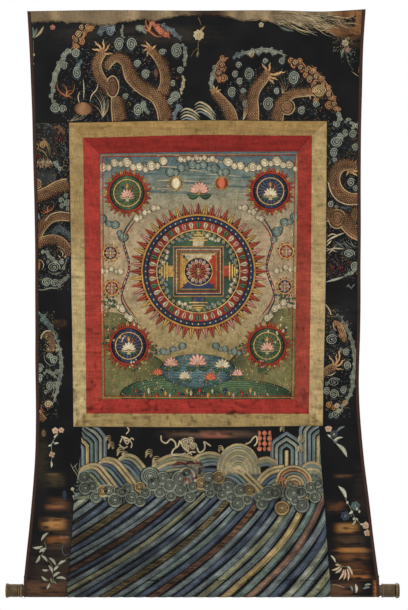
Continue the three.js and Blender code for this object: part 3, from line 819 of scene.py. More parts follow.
def sew_top_panel(work):
    """The upper panel: two roundels cut by the borders, each with coils and claws among clouds."""
    whole = Needle(work, WHOLE)
    for box, count, seed in (((55, 35, 182, 162), 2400, 50), ((212, 66, 330, 186), 2200, 51)):
        haze(whole, box, count, (DULL, WEARY, RUSSET, TEAL, NAVY), seed, True)
    left = Needle(work, TOP_LEFT)
    left.cloud([(400, 800), (402, 720), (412, 640), (432, 560), (462, 490), (505, 420), (560, 360)], 44,
               CLOUD, [(425, 590, 26), (450, 520, 24), (520, 395, 26)])
    left.cloud([(560, 380), (590, 300), (650, 240), (730, 205)], 62, AMBER, [(700, 220, 28), (630, 315, 34)])
    left.cloud([(745, 260), (800, 215), (890, 200)], 60, SLATE, [(850, 240, 40)])
    left.cloud([(950, 190), (935, 240), (950, 300)], 20, CLOUD)
    left.cloud([(1040, 200), (1090, 215), (1125, 262)], 46, CLOUD, [(1075, 225, 24)])
    left.cloud([(1205, 178), (1280, 215), (1345, 258), (1400, 320)], 40, SLATE, [(1300, 255, 30)])
    left.cloud([(1408, 330), (1425, 420), (1412, 520)], 32, CLOUD)
    left.cloud([(1412, 580), (1405, 660), (1385, 720)], 26, CREAM)
    left.cloud([(640, 470), (600, 500), (590, 570)], 34, SLATE)
    left.cloud([(1080, 600), (1060, 660), (1020, 700)], 30, CLOUD)
    left.cloud([(1140, 880), (1120, 840), (1095, 790)], 34, CLOUD)
    left.cloud([(1380, 800), (1350, 860), (1330, 930)], 36, SLATE, [(1375, 830, 30)])
    left.curls([(490, 435, 28), (495, 505, 33), (585, 410, 38), (595, 560, 38, 52), (915, 340, 42, 56),
                (1010, 340, 42, 56), (1055, 490, 32), (1120, 570, 38), (965, 740, 30, 26),
                (1060, 845, 40, 56), (1105, 800, 28), (425, 830, 44, 40), (480, 835, 34)], CLOUD)
    left.curls([(1360, 390, 48, 60), (1250, 400, 36, 28), (1385, 540, 30), (1345, 740, 42), (1310, 780, 30),
                (1330, 640, 26)], CLOUD)
    left.flame((1150, 240), [(1150, 92), (1120, 130), (1185, 150), (1280, 270), (1100, 190)], 11)
    left.flame((505, 740), [(440, 600), (480, 640), (560, 690), (575, 640), (560, 760), (450, 720)], 9)
    for path in ([(640, 600), (645, 690), (640, 770)], [(755, 610), (745, 680), (700, 740), (690, 790)],
                 [(615, 700), (600, 740), (612, 800)]):
        left.stem(path, 3.2, CREAM.light, CREAM.dark, base=0.2, shape="leaf")
    left.hair((790, 900), [(700, 690), (720, 680), (745, 680), (770, 690), (795, 700), (820, 720), (835, 760),
                           (700, 740), (690, 790)], (CREAM.light, CLOUD.mid, SCALE.light), 2.0)
    left.dragon([(850, 690), (800, 640), (760, 575), (742, 500), (762, 440), (790, 400)], (88, 82, 76, 70),
                -1)
    left.paw((785, 402), [(705, 380), (722, 318), (790, 300), (845, 335), (868, 410)], 17)
    left.haunch((865, 665), 48, 80, RUSSET)
    left.dragon([(812, 530), (850, 470), (905, 440), (960, 470), (1005, 590), (1100, 680), (1200, 740),
                 (1255, 840), (1270, 930)], (54, 84, 100, 112, 114), -1)
    left.dragon([(900, 740), (902, 800), (915, 930)], (92, 108, 112), -1)
    left.dragon([(1245, 720), (1272, 640), (1268, 560), (1236, 480), (1185, 410), (1155, 380)],
                (92, 84, 72, 60), 1)
    left.paw((1152, 380), [(1080, 345), (1095, 395), (1118, 318), (1200, 345), (1130, 440)], 16)
    left.disc((1200, 562), 24, 34, RUSSET.mid, RUSSET.dark, 0.2, 0.3)
    left.disc((640, 835), 78, 50, SCALE.mid, SCALE.dark, 0.2, 1.0)
    left.hair((540, 930), [(610, 800), (650, 800), (690, 820), (700, 850)], (CREAM.mid, CLOUD.light), 1.4)
    left.leaf((250, 290), (285, 215), 9, CLOUD)
    left.leaf((255, 290), (250, 205), 8, CLOUD)
    left.leaf((262, 292), (338, 200), 8, CREAM)
    left.blossom((405, 210), 22, PINK)
    left.disc((260, 420), 10, 10, CREAM.mid)
    left.disc((255, 490), 9, 9, CREAM.mid)
    left.stem([(255, 300), (258, 380), (256, 470)], 1.3, SAGE.mid)

    middle = Needle(work, TOP_MIDDLE)
    middle.blossom((460, 340), 78, CREAM, 8)
    middle.leaf((450, 300), (545, 215), 7, GILT)
    middle.stem([(460, 400), (450, 500), (460, 620)], 1.5, GILT.mid)
    middle.stem([(455, 520), (400, 560), (352, 640)], 1.3, GILT.mid)
    middle.leaf((455, 560), (440, 650), 6, SAGE)
    middle.stem([(450, 90), (470, 140), (490, 200)], 0.9, CREAM.mid)
    for down, tone in ((0, CREAM), (45, SAGE), (88, CREAM), (130, SLATE)):
        middle.stem([(205, 1390 + down), (280, 1345 + down), (370, 1365 + down), (480, 1460 + down)], 6.5,
                    tone.light, tone.dark, rise=0.4, shape="leaf")
        middle.stem([(395, 1300 + down), (470, 1255 + down), (560, 1290 + down), (700, 1440 + down)], 6.5,
                    tone.light, tone.dark, rise=0.4, shape="leaf")

    right = Needle(work, TOP_RIGHT)
    right.cloud([(50, 690), (62, 600), (80, 520)], 36, CLOUD, [(66, 600, 24), (82, 520, 22)])
    right.cloud([(115, 640), (105, 560), (130, 480), (190, 440)], 58, AMBER, [(150, 530, 28), (150, 600, 34)])
    right.cloud([(215, 445), (270, 418), (330, 415)], 34, SLATE, [(365, 415, 28)])
    right.cloud([(250, 430), (310, 408), (380, 395), (470, 385), (560, 400), (640, 430)], 38, CLOUD,
                [(420, 410, 22), (530, 410, 22)])
    right.cloud([(655, 440), (690, 465), (745, 500), (800, 580)], 60, AMBER,
                [(690, 500, 30), (740, 520, 24), (780, 580, 25)])
    right.cloud([(795, 500), (860, 560), (915, 630), (965, 710), (1005, 790), (1030, 870)], 46, DIM,
                [(830, 548, 30), (880, 606, 30), (938, 672, 28), (972, 745, 30), (1010, 830, 26)])
    right.cloud([(800, 580), (835, 630), (850, 700), (880, 770)], 50, AMBER, [(812, 606, 30), (860, 772, 26)])
    for seed, box in enumerate(((770, 500, 840, 585), (820, 560, 905, 670), (905, 650, 970, 760),
                                (975, 760, 1030, 870))):
        flecks(right, box, 30, (GILT, RUST, SLATE, SCALE), 71 + seed)
    work.floor += 0.4
    right.curls([(700, 480, 26), (742, 520, 22), (812, 612, 28), (852, 690, 26), (860, 590, 22),
                 (915, 655, 22), (960, 725, 24), (1000, 800, 22), (112, 560, 24), (140, 500, 22)], HORNED)
    right.curls([(888, 700, 52), (790, 540, 20)], GILT)
    left.curls([(628, 212, 24), (604, 262, 30), (588, 308, 20)], HORNED)
    left.cloud([(1160, 160), (1205, 212), (1262, 256), (1310, 296)], 50, CORAL)
    left.curls([(1172, 176, 20), (1216, 226, 26), (1272, 272, 22)], CORAL)
    work.floor -= 0.4
    for path in ([(655, 452), (700, 470), (742, 512), (770, 560)], [(676, 440), (735, 478), (790, 548)],
                 [(110, 620), (108, 560), (135, 500), (180, 462)], [(130, 640), (140, 560), (190, 480)]):
        right.stem(path, 1.6, AMBER.dark, rise=0.12, base=0.62, columns=3)
    right.cloud([(1045, 860), (1040, 930), (1030, 990)], 44, CLOUD, [(1030, 960, 34), (1110, 930, 28)])
    right.curls([(345, 570, 40, 54), (240, 570, 30), (275, 625, 30), (265, 500, 28), (215, 710, 38, 45),
                 (690, 600, 46, 58), (495, 800, 46, 54), (750, 850, 35), (470, 470, 25), (600, 470, 30),
                 (300, 700, 26), (560, 700, 28), (860, 800, 30), (320, 800, 30)], CLOUD)
    right.curls([(890, 700, 50), (365, 415, 30)], GILT)
    right.curls([(960, 810, 35), (690, 500, 28)], AMBER)
    right.dragon([(375, 930), (378, 850), (374, 760), (400, 680), (455, 610), (485, 570)],
                 (96, 92, 84, 72), -1)
    right.paw((485, 565), [(440, 488), (505, 478), (630, 545), (592, 556), (570, 612), (545, 645)], 18)
    right.dragon([(80, 710), (150, 790), (200, 860), (222, 940)], (60, 84, 96), 1)
    right.paw((75, 705), [(40, 690), (70, 650), (105, 660), (130, 685)], 15)
    right.dragon([(555, 930), (600, 790), (680, 722), (760, 712), (835, 705)], (104, 92, 72, 60), -1)
    right.haunch((640, 822), 56, 58)
    right.paw((815, 706), [(880, 690), (862, 745), (820, 765), (790, 750), (865, 660)], 14)
    right.hair((300, 930), [(250, 690), (270, 680), (290, 690), (315, 720), (330, 760)],
               (CREAM.mid, SCALE.light), 1.8)
    right.hair((600, 720), [(550, 590), (580, 580), (615, 580), (650, 600), (700, 650)],
               (CREAM.mid, SCALE.light), 1.6)
    right.hair((70, 930), [(0, 835), (20, 850), (40, 860), (60, 870)], (CREAM.light, CLOUD.mid), 2.2)
    right.stem([(410, 85), (415, 130)], 3, RUST.mid)
    right.blossom((440, 190), 22, CREAM)
    right.leaf((560, 185), (690, 240), 9, CLOUD)
    flecks(right, (990, 240, 1140, 400), 110, (CREAM, GILT, CREAM, SLATE), 73, 3.2)
    flecks(right, (1050, 370, 1170, 480), 70, (TEAL, SLATE, CLOUD), 74, 3.4)
    right.blossom((1040, 262), 20, CREAM)
    right.blossom((1098, 278), 24, GILT)
    right.blossom((1085, 330), 30, CREAM, 6)
    right.blossom((1105, 385), 24, PINK)
    right.leaf((1085, 360), (1055, 445), 8, SAGE)
    right.leaf((1095, 370), (1140, 425), 8, TEAL)
    right.leaf((1185, 560), (1195, 505), 7, AMBER)
    right.stem([(1130, 545), (1160, 570), (1195, 592)], 2, CREAM.mid, shape="leaf")
    right.stem([(1090, 400), (1110, 480), (1150, 545)], 1.4, SAGE.mid)


def lines(needle, paths, width, *tones):
    """Fine couched lines, their colours in turns, their width in millimetres."""
    for i, path in enumerate(paths):
        tone = tones[i % len(tones)]
        needle.stem(path, width, tone.light, tone.mid, base=0.25, shape="leaf", columns=3)


def haze(needle, box, count, tones, seed, rounded=False):
    """Faint remains of old stitches, scattered inside a box of left, top, right and bottom."""
    noise = np.random.default_rng(seed)
    for i in range(count):
        x, y = noise.uniform(box[0], box[2]), noise.uniform(box[1], box[3])
        if rounded and math.hypot(2 * (x - box[0]) / (box[2] - box[0]) - 1,
                                  2 * (y - box[1]) / (box[3] - box[1]) - 1) > 1:
            continue
        turn, reach = noise.uniform(0, 2 * np.pi), needle.grid.step
        step = noise.uniform(2, 6) / reach
        shade = np.array(tones[i % len(tones)].mid) * noise.uniform(0.6, 1.35)
        needle.stem([(x, y), (x + step * math.cos(turn), y + step * math.sin(turn))], noise.uniform(1.5, 3.6),
                    shade, rise=0.15, shape="leaf", columns=3)


def flecks(needle, box, count, tones, seed, size=2.6):
    """Short scattered stitches inside a box of left, top, right and bottom."""
    noise = np.random.default_rng(seed)
    for i in range(count):
        x, y = noise.uniform(box[0], box[2]), noise.uniform(box[1], box[3])
        turn = noise.uniform(0, 2 * np.pi)
        step = noise.uniform(1.3, 3.0) / needle.grid.step
        needle.stem([(x, y), (x + step * math.cos(turn), y + step * math.sin(turn))],
                    size * noise.uniform(0.4, 1), tones[i % len(tones)].light, tones[i % len(tones)].mid,
                    base=0.65, shape="leaf", columns=3)


def sew_left_side(needle):
    """The left panel: a dragon's head and coils above, a roundel's edge below."""
    haze(needle, (34, 119, 70, 290), 1500, (DULL, WEARY, RUSSET, TEAL, NAVY), 30)
    haze(needle, (35, 312, 58, 418), 400, (DULL, WEARY, RUSSET, TEAL), 29)
    needle.cloud([(35, 125), (42, 122), (48, 124), (53, 129)], 3.4, DULL, [(39, 127, 2.2), (46, 128, 1.8)])
    needle.cloud([(53, 127), (58, 127), (62, 130), (64, 136)], 4.0, RUSSET, [(59, 133, 2.2)])
    flecks(needle, (55, 136, 66, 143), 30, (RUSSET, BLOOD, HORNED), 31)
    needle.curls([(61, 139, 2.6), (56, 140, 2.2)], BLOOD)
    lines(needle, [[(41, 137), (45, 141), (48, 147), (49, 153)], [(44, 137), (47, 142), (50, 148), (50, 155)],
                   [(37, 148), (41, 150), (45, 153), (48, 158)], [(36, 143), (39, 146), (37, 150)]], 2.6,
          GILT, WEARY)
    needle.curls([(43, 145, 4, 4.4)], SCALE)
    flecks(needle, (35, 141, 50, 158), 70, (WEARY, RUSSET, SAGE), 32)
    lines(needle, [[(52, 154), (55, 149), (60, 146), (65, 149), (65, 154), (61, 156), (58, 153)],
                   [(60, 149), (63, 151), (61, 154)], [(66, 144), (64, 147)]], 2.0, DULL)
    needle.cloud([(35, 158), (38, 156), (42, 158)], 3, BLOOD)
    needle.stem([(36, 166), (42, 163), (48, 163), (53, 166)], (10, 16, 16, 10), (96, 66, 46), RUSSET.dark,
                base=0.1)
    lines(needle, [[(37 + 3 * i, 167), (38.5 + 3 * i, 161), (40.5 + 3 * i, 167)] for i in range(5)], 2.6,
          CREAM)
    flecks(needle, (38, 159, 51, 168), 120, (CREAM, CREAM, AMBER, RUSSET), 33, 3.4)
    for i, x in enumerate(range(35, 56)):
        foot = 188 - abs(x - 46) * 0.25
        lines(needle, [[(x, 168 + (i * 7 % 3)), (x + 0.8, 176), (x + 0.2 * (i % 3), foot)]], 1.3, DULL, CLOUD,
              NAVY)
    needle.cloud([(54, 161), (57, 166), (61, 168)], 4.2, CLOUD, [(57, 163, 2.6), (60, 169, 2.8)])
    flecks(needle, (63, 158, 70, 171), 16, (CREAM, GILT), 34, 3.2)
    needle.dragon([(33, 197), (42, 195), (50, 191), (58, 187), (69, 184)], (13, 12, 12, 13, 12.5), 1, DIM)
    lines(needle, [[(58, 182), (61, 179), (66, 180), (66, 185), (62, 187), (60, 184)],
                   [(62, 183), (64, 182)]], 2.4, HORNED)
    flecks(needle, (40, 184, 68, 196), 50, (HORNED, AMBER, WEARY), 38, 2.4)
    needle.haunch((37.5, 184), 3.6, 4.4, DIM)
    needle.curls([(66, 196, 3), (61, 200, 3.2), (67, 203, 4), (62, 206, 3.2), (68, 209, 2.6)], CLOUD)
    needle.flame((48, 212), [(42, 207), (45, 205), (50, 205), (54, 201), (40, 211)], 6)
    needle.cloud([(35, 212), (38, 215), (40, 220)], 3, SLATE)
    needle.dragon([(36, 246), (38, 235), (43, 225), (51, 218), (60, 216), (71, 217)], (9, 10, 11, 10, 9), -1,
                  DIM)
    needle.stem([(45, 221), (51, 214.5), (59, 212), (70, 213)], 2.6, CREAM.light, SCALE.mid, base=0.9)
    for i in range(15):
        x = 51 + i * 1.25
        y = 229 + 0.9 * abs(i - 6)
        lines(needle, [[(x, y - 6), (x + 1.5, y - 2), (x + 0.5, y + 4)]], 1.4, SLATE, DULL)
    needle.dragon([(35, 247), (43, 241), (52, 239), (60, 241), (66, 247), (70, 256)], (9, 9, 9.5, 9, 8), 1,
                  DIM)
    lines(needle, [[(57, 246), (62, 248), (65, 252), (66, 257)], [(60, 250), (63, 253), (62, 257)],
                   [(58, 255), (61, 258)], [(64, 258), (67, 255)]], 3.0, CREAM)
    flecks(needle, (57, 246, 68, 260), 26, (CREAM, PINK, RUST), 35)
    needle.cloud([(41, 251), (46, 252), (50, 257), (55, 261), (60, 262)], 4.5, CLOUD, [(43, 252, 2.4)])
    needle.curls([(54, 267, 7, 5.6), (62, 262, 3.2), (64, 268, 2.4), (48, 262, 2.2)], CLOUD)
    lines(needle, [[(60, 270), (65, 264), (68, 257)], [(47, 271), (54, 274), (62, 272)]], 2.2, CLOUD)
    needle.disc((37.5, 265), 3.4, 6.5, AMBER.light, RUST.mid, 0.2, 0.8)
    lines(needle, [[(38, 259), (42, 261), (44, 265), (42, 270)]], 2.6, CREAM)
    needle.curls([(47, 282, 6.2, 5), (55, 283, 5, 4.2)], CLOUD)
    needle.cloud([(57, 286), (62, 282), (66, 278), (71, 276)], 4.5, CLOUD)
    lines(needle, [[(35, 288), (42, 290), (50, 288), (58, 288), (64, 285)], [(36, 285), (40, 287)]], 3.0,
          CLOUD)
    needle.cloud([(38, 311), (44, 318), (49, 325), (53, 333), (56, 341)], 6, TEAL, [(42, 320, 2.6)])
    needle.cloud([(55, 336), (59, 347), (61, 358), (61, 370), (59, 382), (56, 394), (52, 406)], 4.4, CLOUD)
    needle.stem([(54.5, 323.5), (59, 323), (63.5, 322)], 9, (66, 50, 38), RUSSET.dark, base=0.1, shape="ring")
    needle.stem([(43, 338), (46, 333), (51, 334), (51, 341), (53, 347), (49, 352)], (12, 20, 22, 18),
                (104, 78, 56), RUSSET.dark, base=0.1)
    needle.stem([(41, 339), (42, 335), (46, 331), (51, 331)], 4, CREAM.light, GILT.mid, base=0.6)
    needle.curls([(46, 335.5, 3), (52, 334.5, 3), (50, 341, 2.6), (54, 345.5, 3), (50, 349.5, 3.2),
                  (57, 350, 2)], CREAM)
    flecks(needle, (44, 331, 56, 352), 80, (AMBER, CREAM, GILT), 36, 3.2)
    needle.curls([(49.5, 356, 4, 3.4), (54, 360, 5, 4.4), (39.5, 368, 5), (39.5, 378, 4.6),
                  (50, 386, 4.6, 5.6), (46, 392, 2.6), (57, 372, 3), (56, 384, 3)], CLOUD)
    needle.cloud([(43, 374), (48, 371), (53, 374), (58, 379)], 3.6, CLOUD)
    lines(needle, [[(44, 353), (45, 360), (50, 365), (56, 365)], [(54, 380), (54, 390), (51, 398)]], 2.2,
          CLOUD, SAGE)
    needle.curls([(48.5, 404, 4.6, 4)], CREAM)
    needle.curls([(48.5, 406, 2)], RUST)
    needle.flame((39, 412), [(37, 401), (41, 404), (46, 412), (44, 417), (36, 408)], 6)
    needle.dragon([(33, 410), (39, 414), (44, 421)], (5, 7, 8), 1, DIM)
    flecks(needle, (35, 398, 48, 420), 30, (RUST, GILT, CLOUD), 37)


def sew_right_side(needle):
    """The right panel: coils and clouds above, a roundel's edge with a claw below."""
    haze(needle, (327, 118, 360, 280), 1300, (DULL, WEARY, RUSSET, TEAL, NAVY), 40)
    haze(needle, (326, 310, 350, 418), 400, (DULL, WEARY, SLATE, TEAL), 39)
    needle.curls([(337, 123.5, 4.8, 4.2), (346, 120.5, 3.2), (345, 132, 3.2), (340, 136, 3.4),
                  (353, 134, 4.6), (337, 142, 7.2, 5.8), (355.5, 147, 4.6, 4.2), (334, 152.5, 4.6, 5.4),
                  (334.5, 160, 3), (358, 126, 3.4)], CLOUD)
    needle.cloud([(350, 121), (354, 125), (353, 130)], 4, CLOUD)
    needle.cloud([(341, 139), (345, 135), (349, 133)], 3, CLOUD)
    flecks(needle, (342, 144, 358, 160), 70, (WEARY, SAGE, NAVY), 41, 2.0)
    flecks(needle, (330, 128, 360, 160), 40, (NAVY, SLATE), 42, 1.8)
    needle.dragon([(358, 168), (350, 165), (341, 166), (335, 173), (334, 183), (339, 193), (348, 199),
                   (364, 200)], (11, 12, 13, 14, 14, 14), 1, DIM)
    needle.stem([(328, 182), (331, 192), (337, 200), (345, 204), (360, 204.5)], 3.2, CREAM.light, SCALE.mid,
                base=0.9)
    needle.paw((351, 170), [(356, 160), (361, 163), (362, 170), (358, 176), (346, 176)], 15)
    needle.curls([(342, 170, 2.8, 3.2)], SCALE)
    needle.curls([(351, 182.5, 4.4, 5), (355.5, 188.5, 4, 3.6), (359, 193, 2.6), (331, 204.5, 3.8),
                  (336, 207, 2.4)], CLOUD)
    needle.cloud([(340, 207), (346, 208), (352, 207)], 2.4, NAVY)
    needle.dragon([(326, 214), (337, 216), (346, 222), (353, 230), (364, 236)], (15, 17, 16, 14), -1, DIM)
    needle.haunch((337, 219), 8.6, 9.4, DIM)
    needle.dragon([(357, 208), (354, 215), (357, 222)], (8, 9, 8), 1, SCALE)
    flecks(needle, (345, 226, 360, 240), 40, (AMBER, RUST, GILT), 43, 3.0)
    lines(needle, [[(352, 224), (356, 221), (361, 219)], [(354, 226), (358, 225)]], 2.6, CREAM)
    for path, width in (([(325, 243), (330, 239), (337, 235.5), (345, 232.5)], 5.5),
                        ([(327, 237), (332, 234), (337, 235)], 4), ([(326, 246), (332, 240)], 4.5),
                        ([(325, 251), (333, 248.5), (345, 249)], 5),
                        ([(328, 254), (333, 249), (336, 245)], 4),
                        ([(326, 248), (332, 250), (337, 252)], 3.5)):
        needle.stem(path, width, CREAM.light, CREAM.dark, base=0.3, shape="leaf")
    lines(needle, [[(334 + 2 * i, 240 + (i * 5) % 4), (338 + 2 * i, 244 + i % 3),
                    (341 + 2.2 * i, 250 - i * 0.4)]
                   for i in range(9)], 1.6, SLATE, TEAL, CLOUD)
    flecks(needle, (345, 238, 360, 250), 30, (CLOUD, GILT, RUST), 44, 1.8)
    needle.curls([(349, 253.5, 6.4, 4.6)], CLOUD)
    flecks(needle, (328, 256, 347, 276), 90, (BLOOD, BLOOD, RUST, SLATE), 45, 3.0)
    needle.curls([(333, 268, 3), (340, 268, 3)], BLOOD)
    needle.curls([(355, 266.5, 5, 5), (359.5, 262, 3)], CLOUD)
    needle.cloud([(344, 275), (349, 274), (354, 271), (358, 268)], 3.6, CLOUD)
    needle.stem([(325, 282), (333, 280), (340, 278), (345, 276)], 6.5, CLOUD.light, CLOUD.mid, base=0.1,
                shape="leaf")
    for root, tip in (((348, 284), (352, 289)), ((355, 284), (351, 289)), ((346, 287), (349, 284))):
        needle.leaf(root, tip, 4.5, CLOUD)
    flecks(needle, (328, 308, 338, 322), 50, (RUST, SCALE, CREAM), 46, 3.0)
    needle.stem([(325, 304), (329, 309), (331, 315)], 3.0, CREAM.light, SCALE.mid, base=0.5)
    needle.cloud([(337, 313), (343, 321), (348, 331), (352, 342), (354, 353), (355, 364), (353, 376),
                  (352, 388), (348, 398), (342, 408), (336, 417)], 4.6, CLOUD)
    needle.cloud([(334, 320), (339, 325), (342, 332), (346, 341)], 7.5, AMBER,
                 [(340, 326, 3), (343, 334, 3), (344, 340, 2.4)])
    lines(needle, [[(333, 322), (334, 328), (337, 331)], [(340, 322), (344, 330), (347, 338)]], 3.0, CREAM)
    flecks(needle, (336, 321, 348, 342), 40, (GILT, CREAM, AMBER), 47, 2.8)
    needle.curls([(333, 333, 4)], DULL)
    needle.curls([(332, 339.5, 6.6, 5.6), (346, 352, 4.2), (347, 365.5, 4.2, 5), (352, 377, 3.2),
                  (334, 382, 7, 4.8), (327, 391, 4.2), (334, 394, 5, 5.4), (343.5, 390, 4, 4.4),
                  (336, 414.5, 5.4, 4.4), (341, 350, 2.4), (327, 384, 2.4)], CLOUD)
    flecks(needle, (326, 345, 345, 358), 46, (NAVY, SLATE, TEAL), 48, 2.2)
    needle.dragon([(322, 375), (328, 370), (335, 366)], (7, 8, 7), 1, SCALE)
    needle.paw((334, 367), [(328, 355), (336, 353), (340, 346.5), (345, 358), (343, 369)], 14)
    lines(needle, [[(326, 375), (331, 375), (336, 372)]], 3.4, CREAM)
    needle.curls([(329, 405, 3.6), (334, 408, 3), (345, 403, 3.4)], AMBER)
    needle.curls([(337, 406, 3.2), (338.5, 411, 2.8)], CREAM)
    needle.curls([(331, 416, 3.2)], TEAL)
    flecks(needle, (326, 400, 349, 412), 30, (AMBER, CREAM), 49, 3.0)


def sprig(needle, stems, leaves, width=4.6):
    """Stems, then leaves: rows of root, tip and a tone, or none for bleached ones."""
    for path in stems:
        needle.stem(path, 1.7, SAGE.light, SAGE.mid, base=0.1, columns=3)
    for x0, y0, x1, y1, *dyed in leaves:
        tone = dyed[0] if dyed else BLEACHED
        bend = ((x0 + x1) / 2 + (y1 - y0) * 0.1, (y0 + y1) / 2 - (x1 - x0) * 0.1)
        needle.stem([(x0, y0), bend, (x1, y1)], width * 1.25, tone.light, tone.mid, base=0.15, shape="leaf")


def sew_foot_sides(left_work, right_work):
    """The lower side panels: sprays of leaves and small flowers."""
    left = Needle(left_work, WHOLE)
    left.disc((44, 433), 3, 3.5, WEARY.mid, WEARY.dark)
    left.blossom((55.5, 430.5), 3.6, PALE_ROSE)
    left.blossom((61.5, 430), 3.0, PALE_ROSE)
    sprig(left, ([(59, 433), (55, 438), (52, 443), (52, 455), (51, 466)], [(52, 446), (49, 445)]),
          ((54, 438, 58, 434), (52, 444, 48, 446), (52, 443, 55, 442, TEAL),
           (54, 444, 59, 443), (51, 461, 51, 468)))
    left.blossom((52, 454.5), 3.4, PALE_ROSE, 4)
    left.disc((64.5, 495), 3, 4.5, NAVY.mid, NAVY.dark)
    sprig(left, ([(44, 541), (46, 548), (42, 555), (48, 560), (52, 566), (53, 575), (54, 583)],
                 [(55, 567), (61, 562), (66, 559), (73, 555), (82, 551)]), (), 5)
    sprig(left, (), (
        (41, 541, 48.5, 532.5), (43, 546, 32.5, 547.5), (39, 552.5, 47, 548),
        (40, 555, 35.5, 563), (41, 555, 47.5, 562), (45, 551, 40, 549),
        (49, 557.5, 56, 565.5), (49, 570, 42, 569.5), (48.5, 565, 52.5, 573),
        (53.5, 571, 59, 566), (53, 577, 60.5, 572), (56, 578, 66.5, 579),
        (49, 581, 41.5, 576), (50, 583, 47, 590), (53, 584, 51, 577, SAGE),
        (58, 565, 66, 560.5), (57, 584, 53, 580, CLOUD)), 6.2)
    lines(left, [[(70, 463), (73, 469), (77, 475), (79, 481)], [(75, 464), (76, 469), (79, 473)],
                 [(72, 468), (75, 466), (78, 463)], [(79, 462), (78.5, 476), (79, 492)],
                 [(77, 478), (76, 486), (78, 494)], [(74, 484), (77, 489), (76, 496)],
                 [(71, 488), (74, 492), (78, 497)], [(73, 500), (76, 494), (79, 489)]], 1.9, CREAM, SAGE,
          CLOUD)
    left.blossom((75.5, 497), 3.2, PALE_ROSE)
    left.blossom((72.5, 489), 2.0, BLEACHED, 4)
    lines(left, [[(66, 541), (62, 549), (65, 555), (70, 552)]], 1.7, SLATE)

    right = Needle(right_work, WHOLE)
    right.blossom((328.5, 428.5), 3.8, PALE_ROSE)
    right.blossom((334, 434), 4.2, NAVY)
    sprig(right, ([(327, 434), (331, 438), (336, 441)],
                  [(345, 498), (348, 503), (351, 509), (355, 518), (361, 524)], [(352, 511), (351, 517)]),
          ((336, 432, 345, 426, SLATE), (333, 441, 343, 437), (331, 437, 328, 434),
           (334, 443, 338, 440, SLATE), (352, 511, 349, 514), (355, 518, 358, 521),
           (356, 520, 352, 525), (360, 524, 364, 526)), 5)
    sprig(right, (), ((336, 443, 347, 457), (338.5, 486, 346.5, 498.5)), 8.5)
    right.blossom((355.5, 506), 5.0, TEAL, 6, SLATE)
    right.blossom((345.5, 516), 5.0, NAVY, 6, SLATE)
    for x, y in ((347.5, 502.5), (352, 512), (359.5, 511.5), (354, 519), (357, 509)):
        right.disc((x, y), 1.3, 1.5, BLEACHED.light, BLEACHED.mid, 0.5)
    right.blossom((366, 525.5), 4.0, PALE_ROSE)
    right.blossom((367.5, 533), 3.6, PALE_ROSE)
    sprig(right, ([(336, 562), (342, 566), (348, 567)],),
          ((330.5, 555, 335.5, 562.5), (341, 566, 331.5, 570, PALE_ROSE), (342, 567, 335, 573),
           (344, 569, 338.5, 580, PALE_ROSE), (345, 569, 343.5, 580, PALE_ROSE),
           (347, 568, 348, 581, PALE_ROSE), (348, 567, 352.5, 576, PALE_ROSE),
           (341, 565, 335, 564, PALE_ROSE), (347, 566, 351, 570)), 4.8)
    right.stem([(330, 585), (338, 586), (345, 589)], 2.4, CREAM.mid, base=0.1, shape="leaf")
    sprig(right, (), ((355, 584, 355.5, 594), (350, 586, 352, 592, TEAL), (362, 590, 370, 588, SLATE),
                      (364, 586, 371, 585, CLOUD)), 6)


def foam(needle, rows):
    """Curled fingers of foam: rows of x, y, lean and reach."""
    for x, y, lean, reach in rows:
        for turn in (0, 1, 2):
            rise = y - turn * reach * 0.45
            needle.stem([(x - reach * lean, rise + reach * 0.5), (x - reach * 0.4 * lean, rise - reach * 0.3),
                         (x + reach * 0.3 * lean, rise - reach * 0.3),
                         (x + reach * 0.6 * lean, rise + 0.2 * reach)],
                        reach * 0.95, SAND.light, SAND.dark, rise=0.4, base=0.05 * turn, shape="claw")
        spot = needle.at((x + reach * 0.2 * lean, y + reach * 0.2))
        curl(needle.work, spot, reach * 0.9, reach * 0.9, SAND)


def ribbon(needle, paths, width=4.0):
    """A flying ribbon: a pale line in a dark border, doubled back on itself."""
    for path in paths:
        needle.stem(path, width * 1.4, CREAM.dark, rise=0.15, columns=3)
        needle.stem(path, width, CREAM.light, CREAM.mid, rise=0.4, base=0.12)


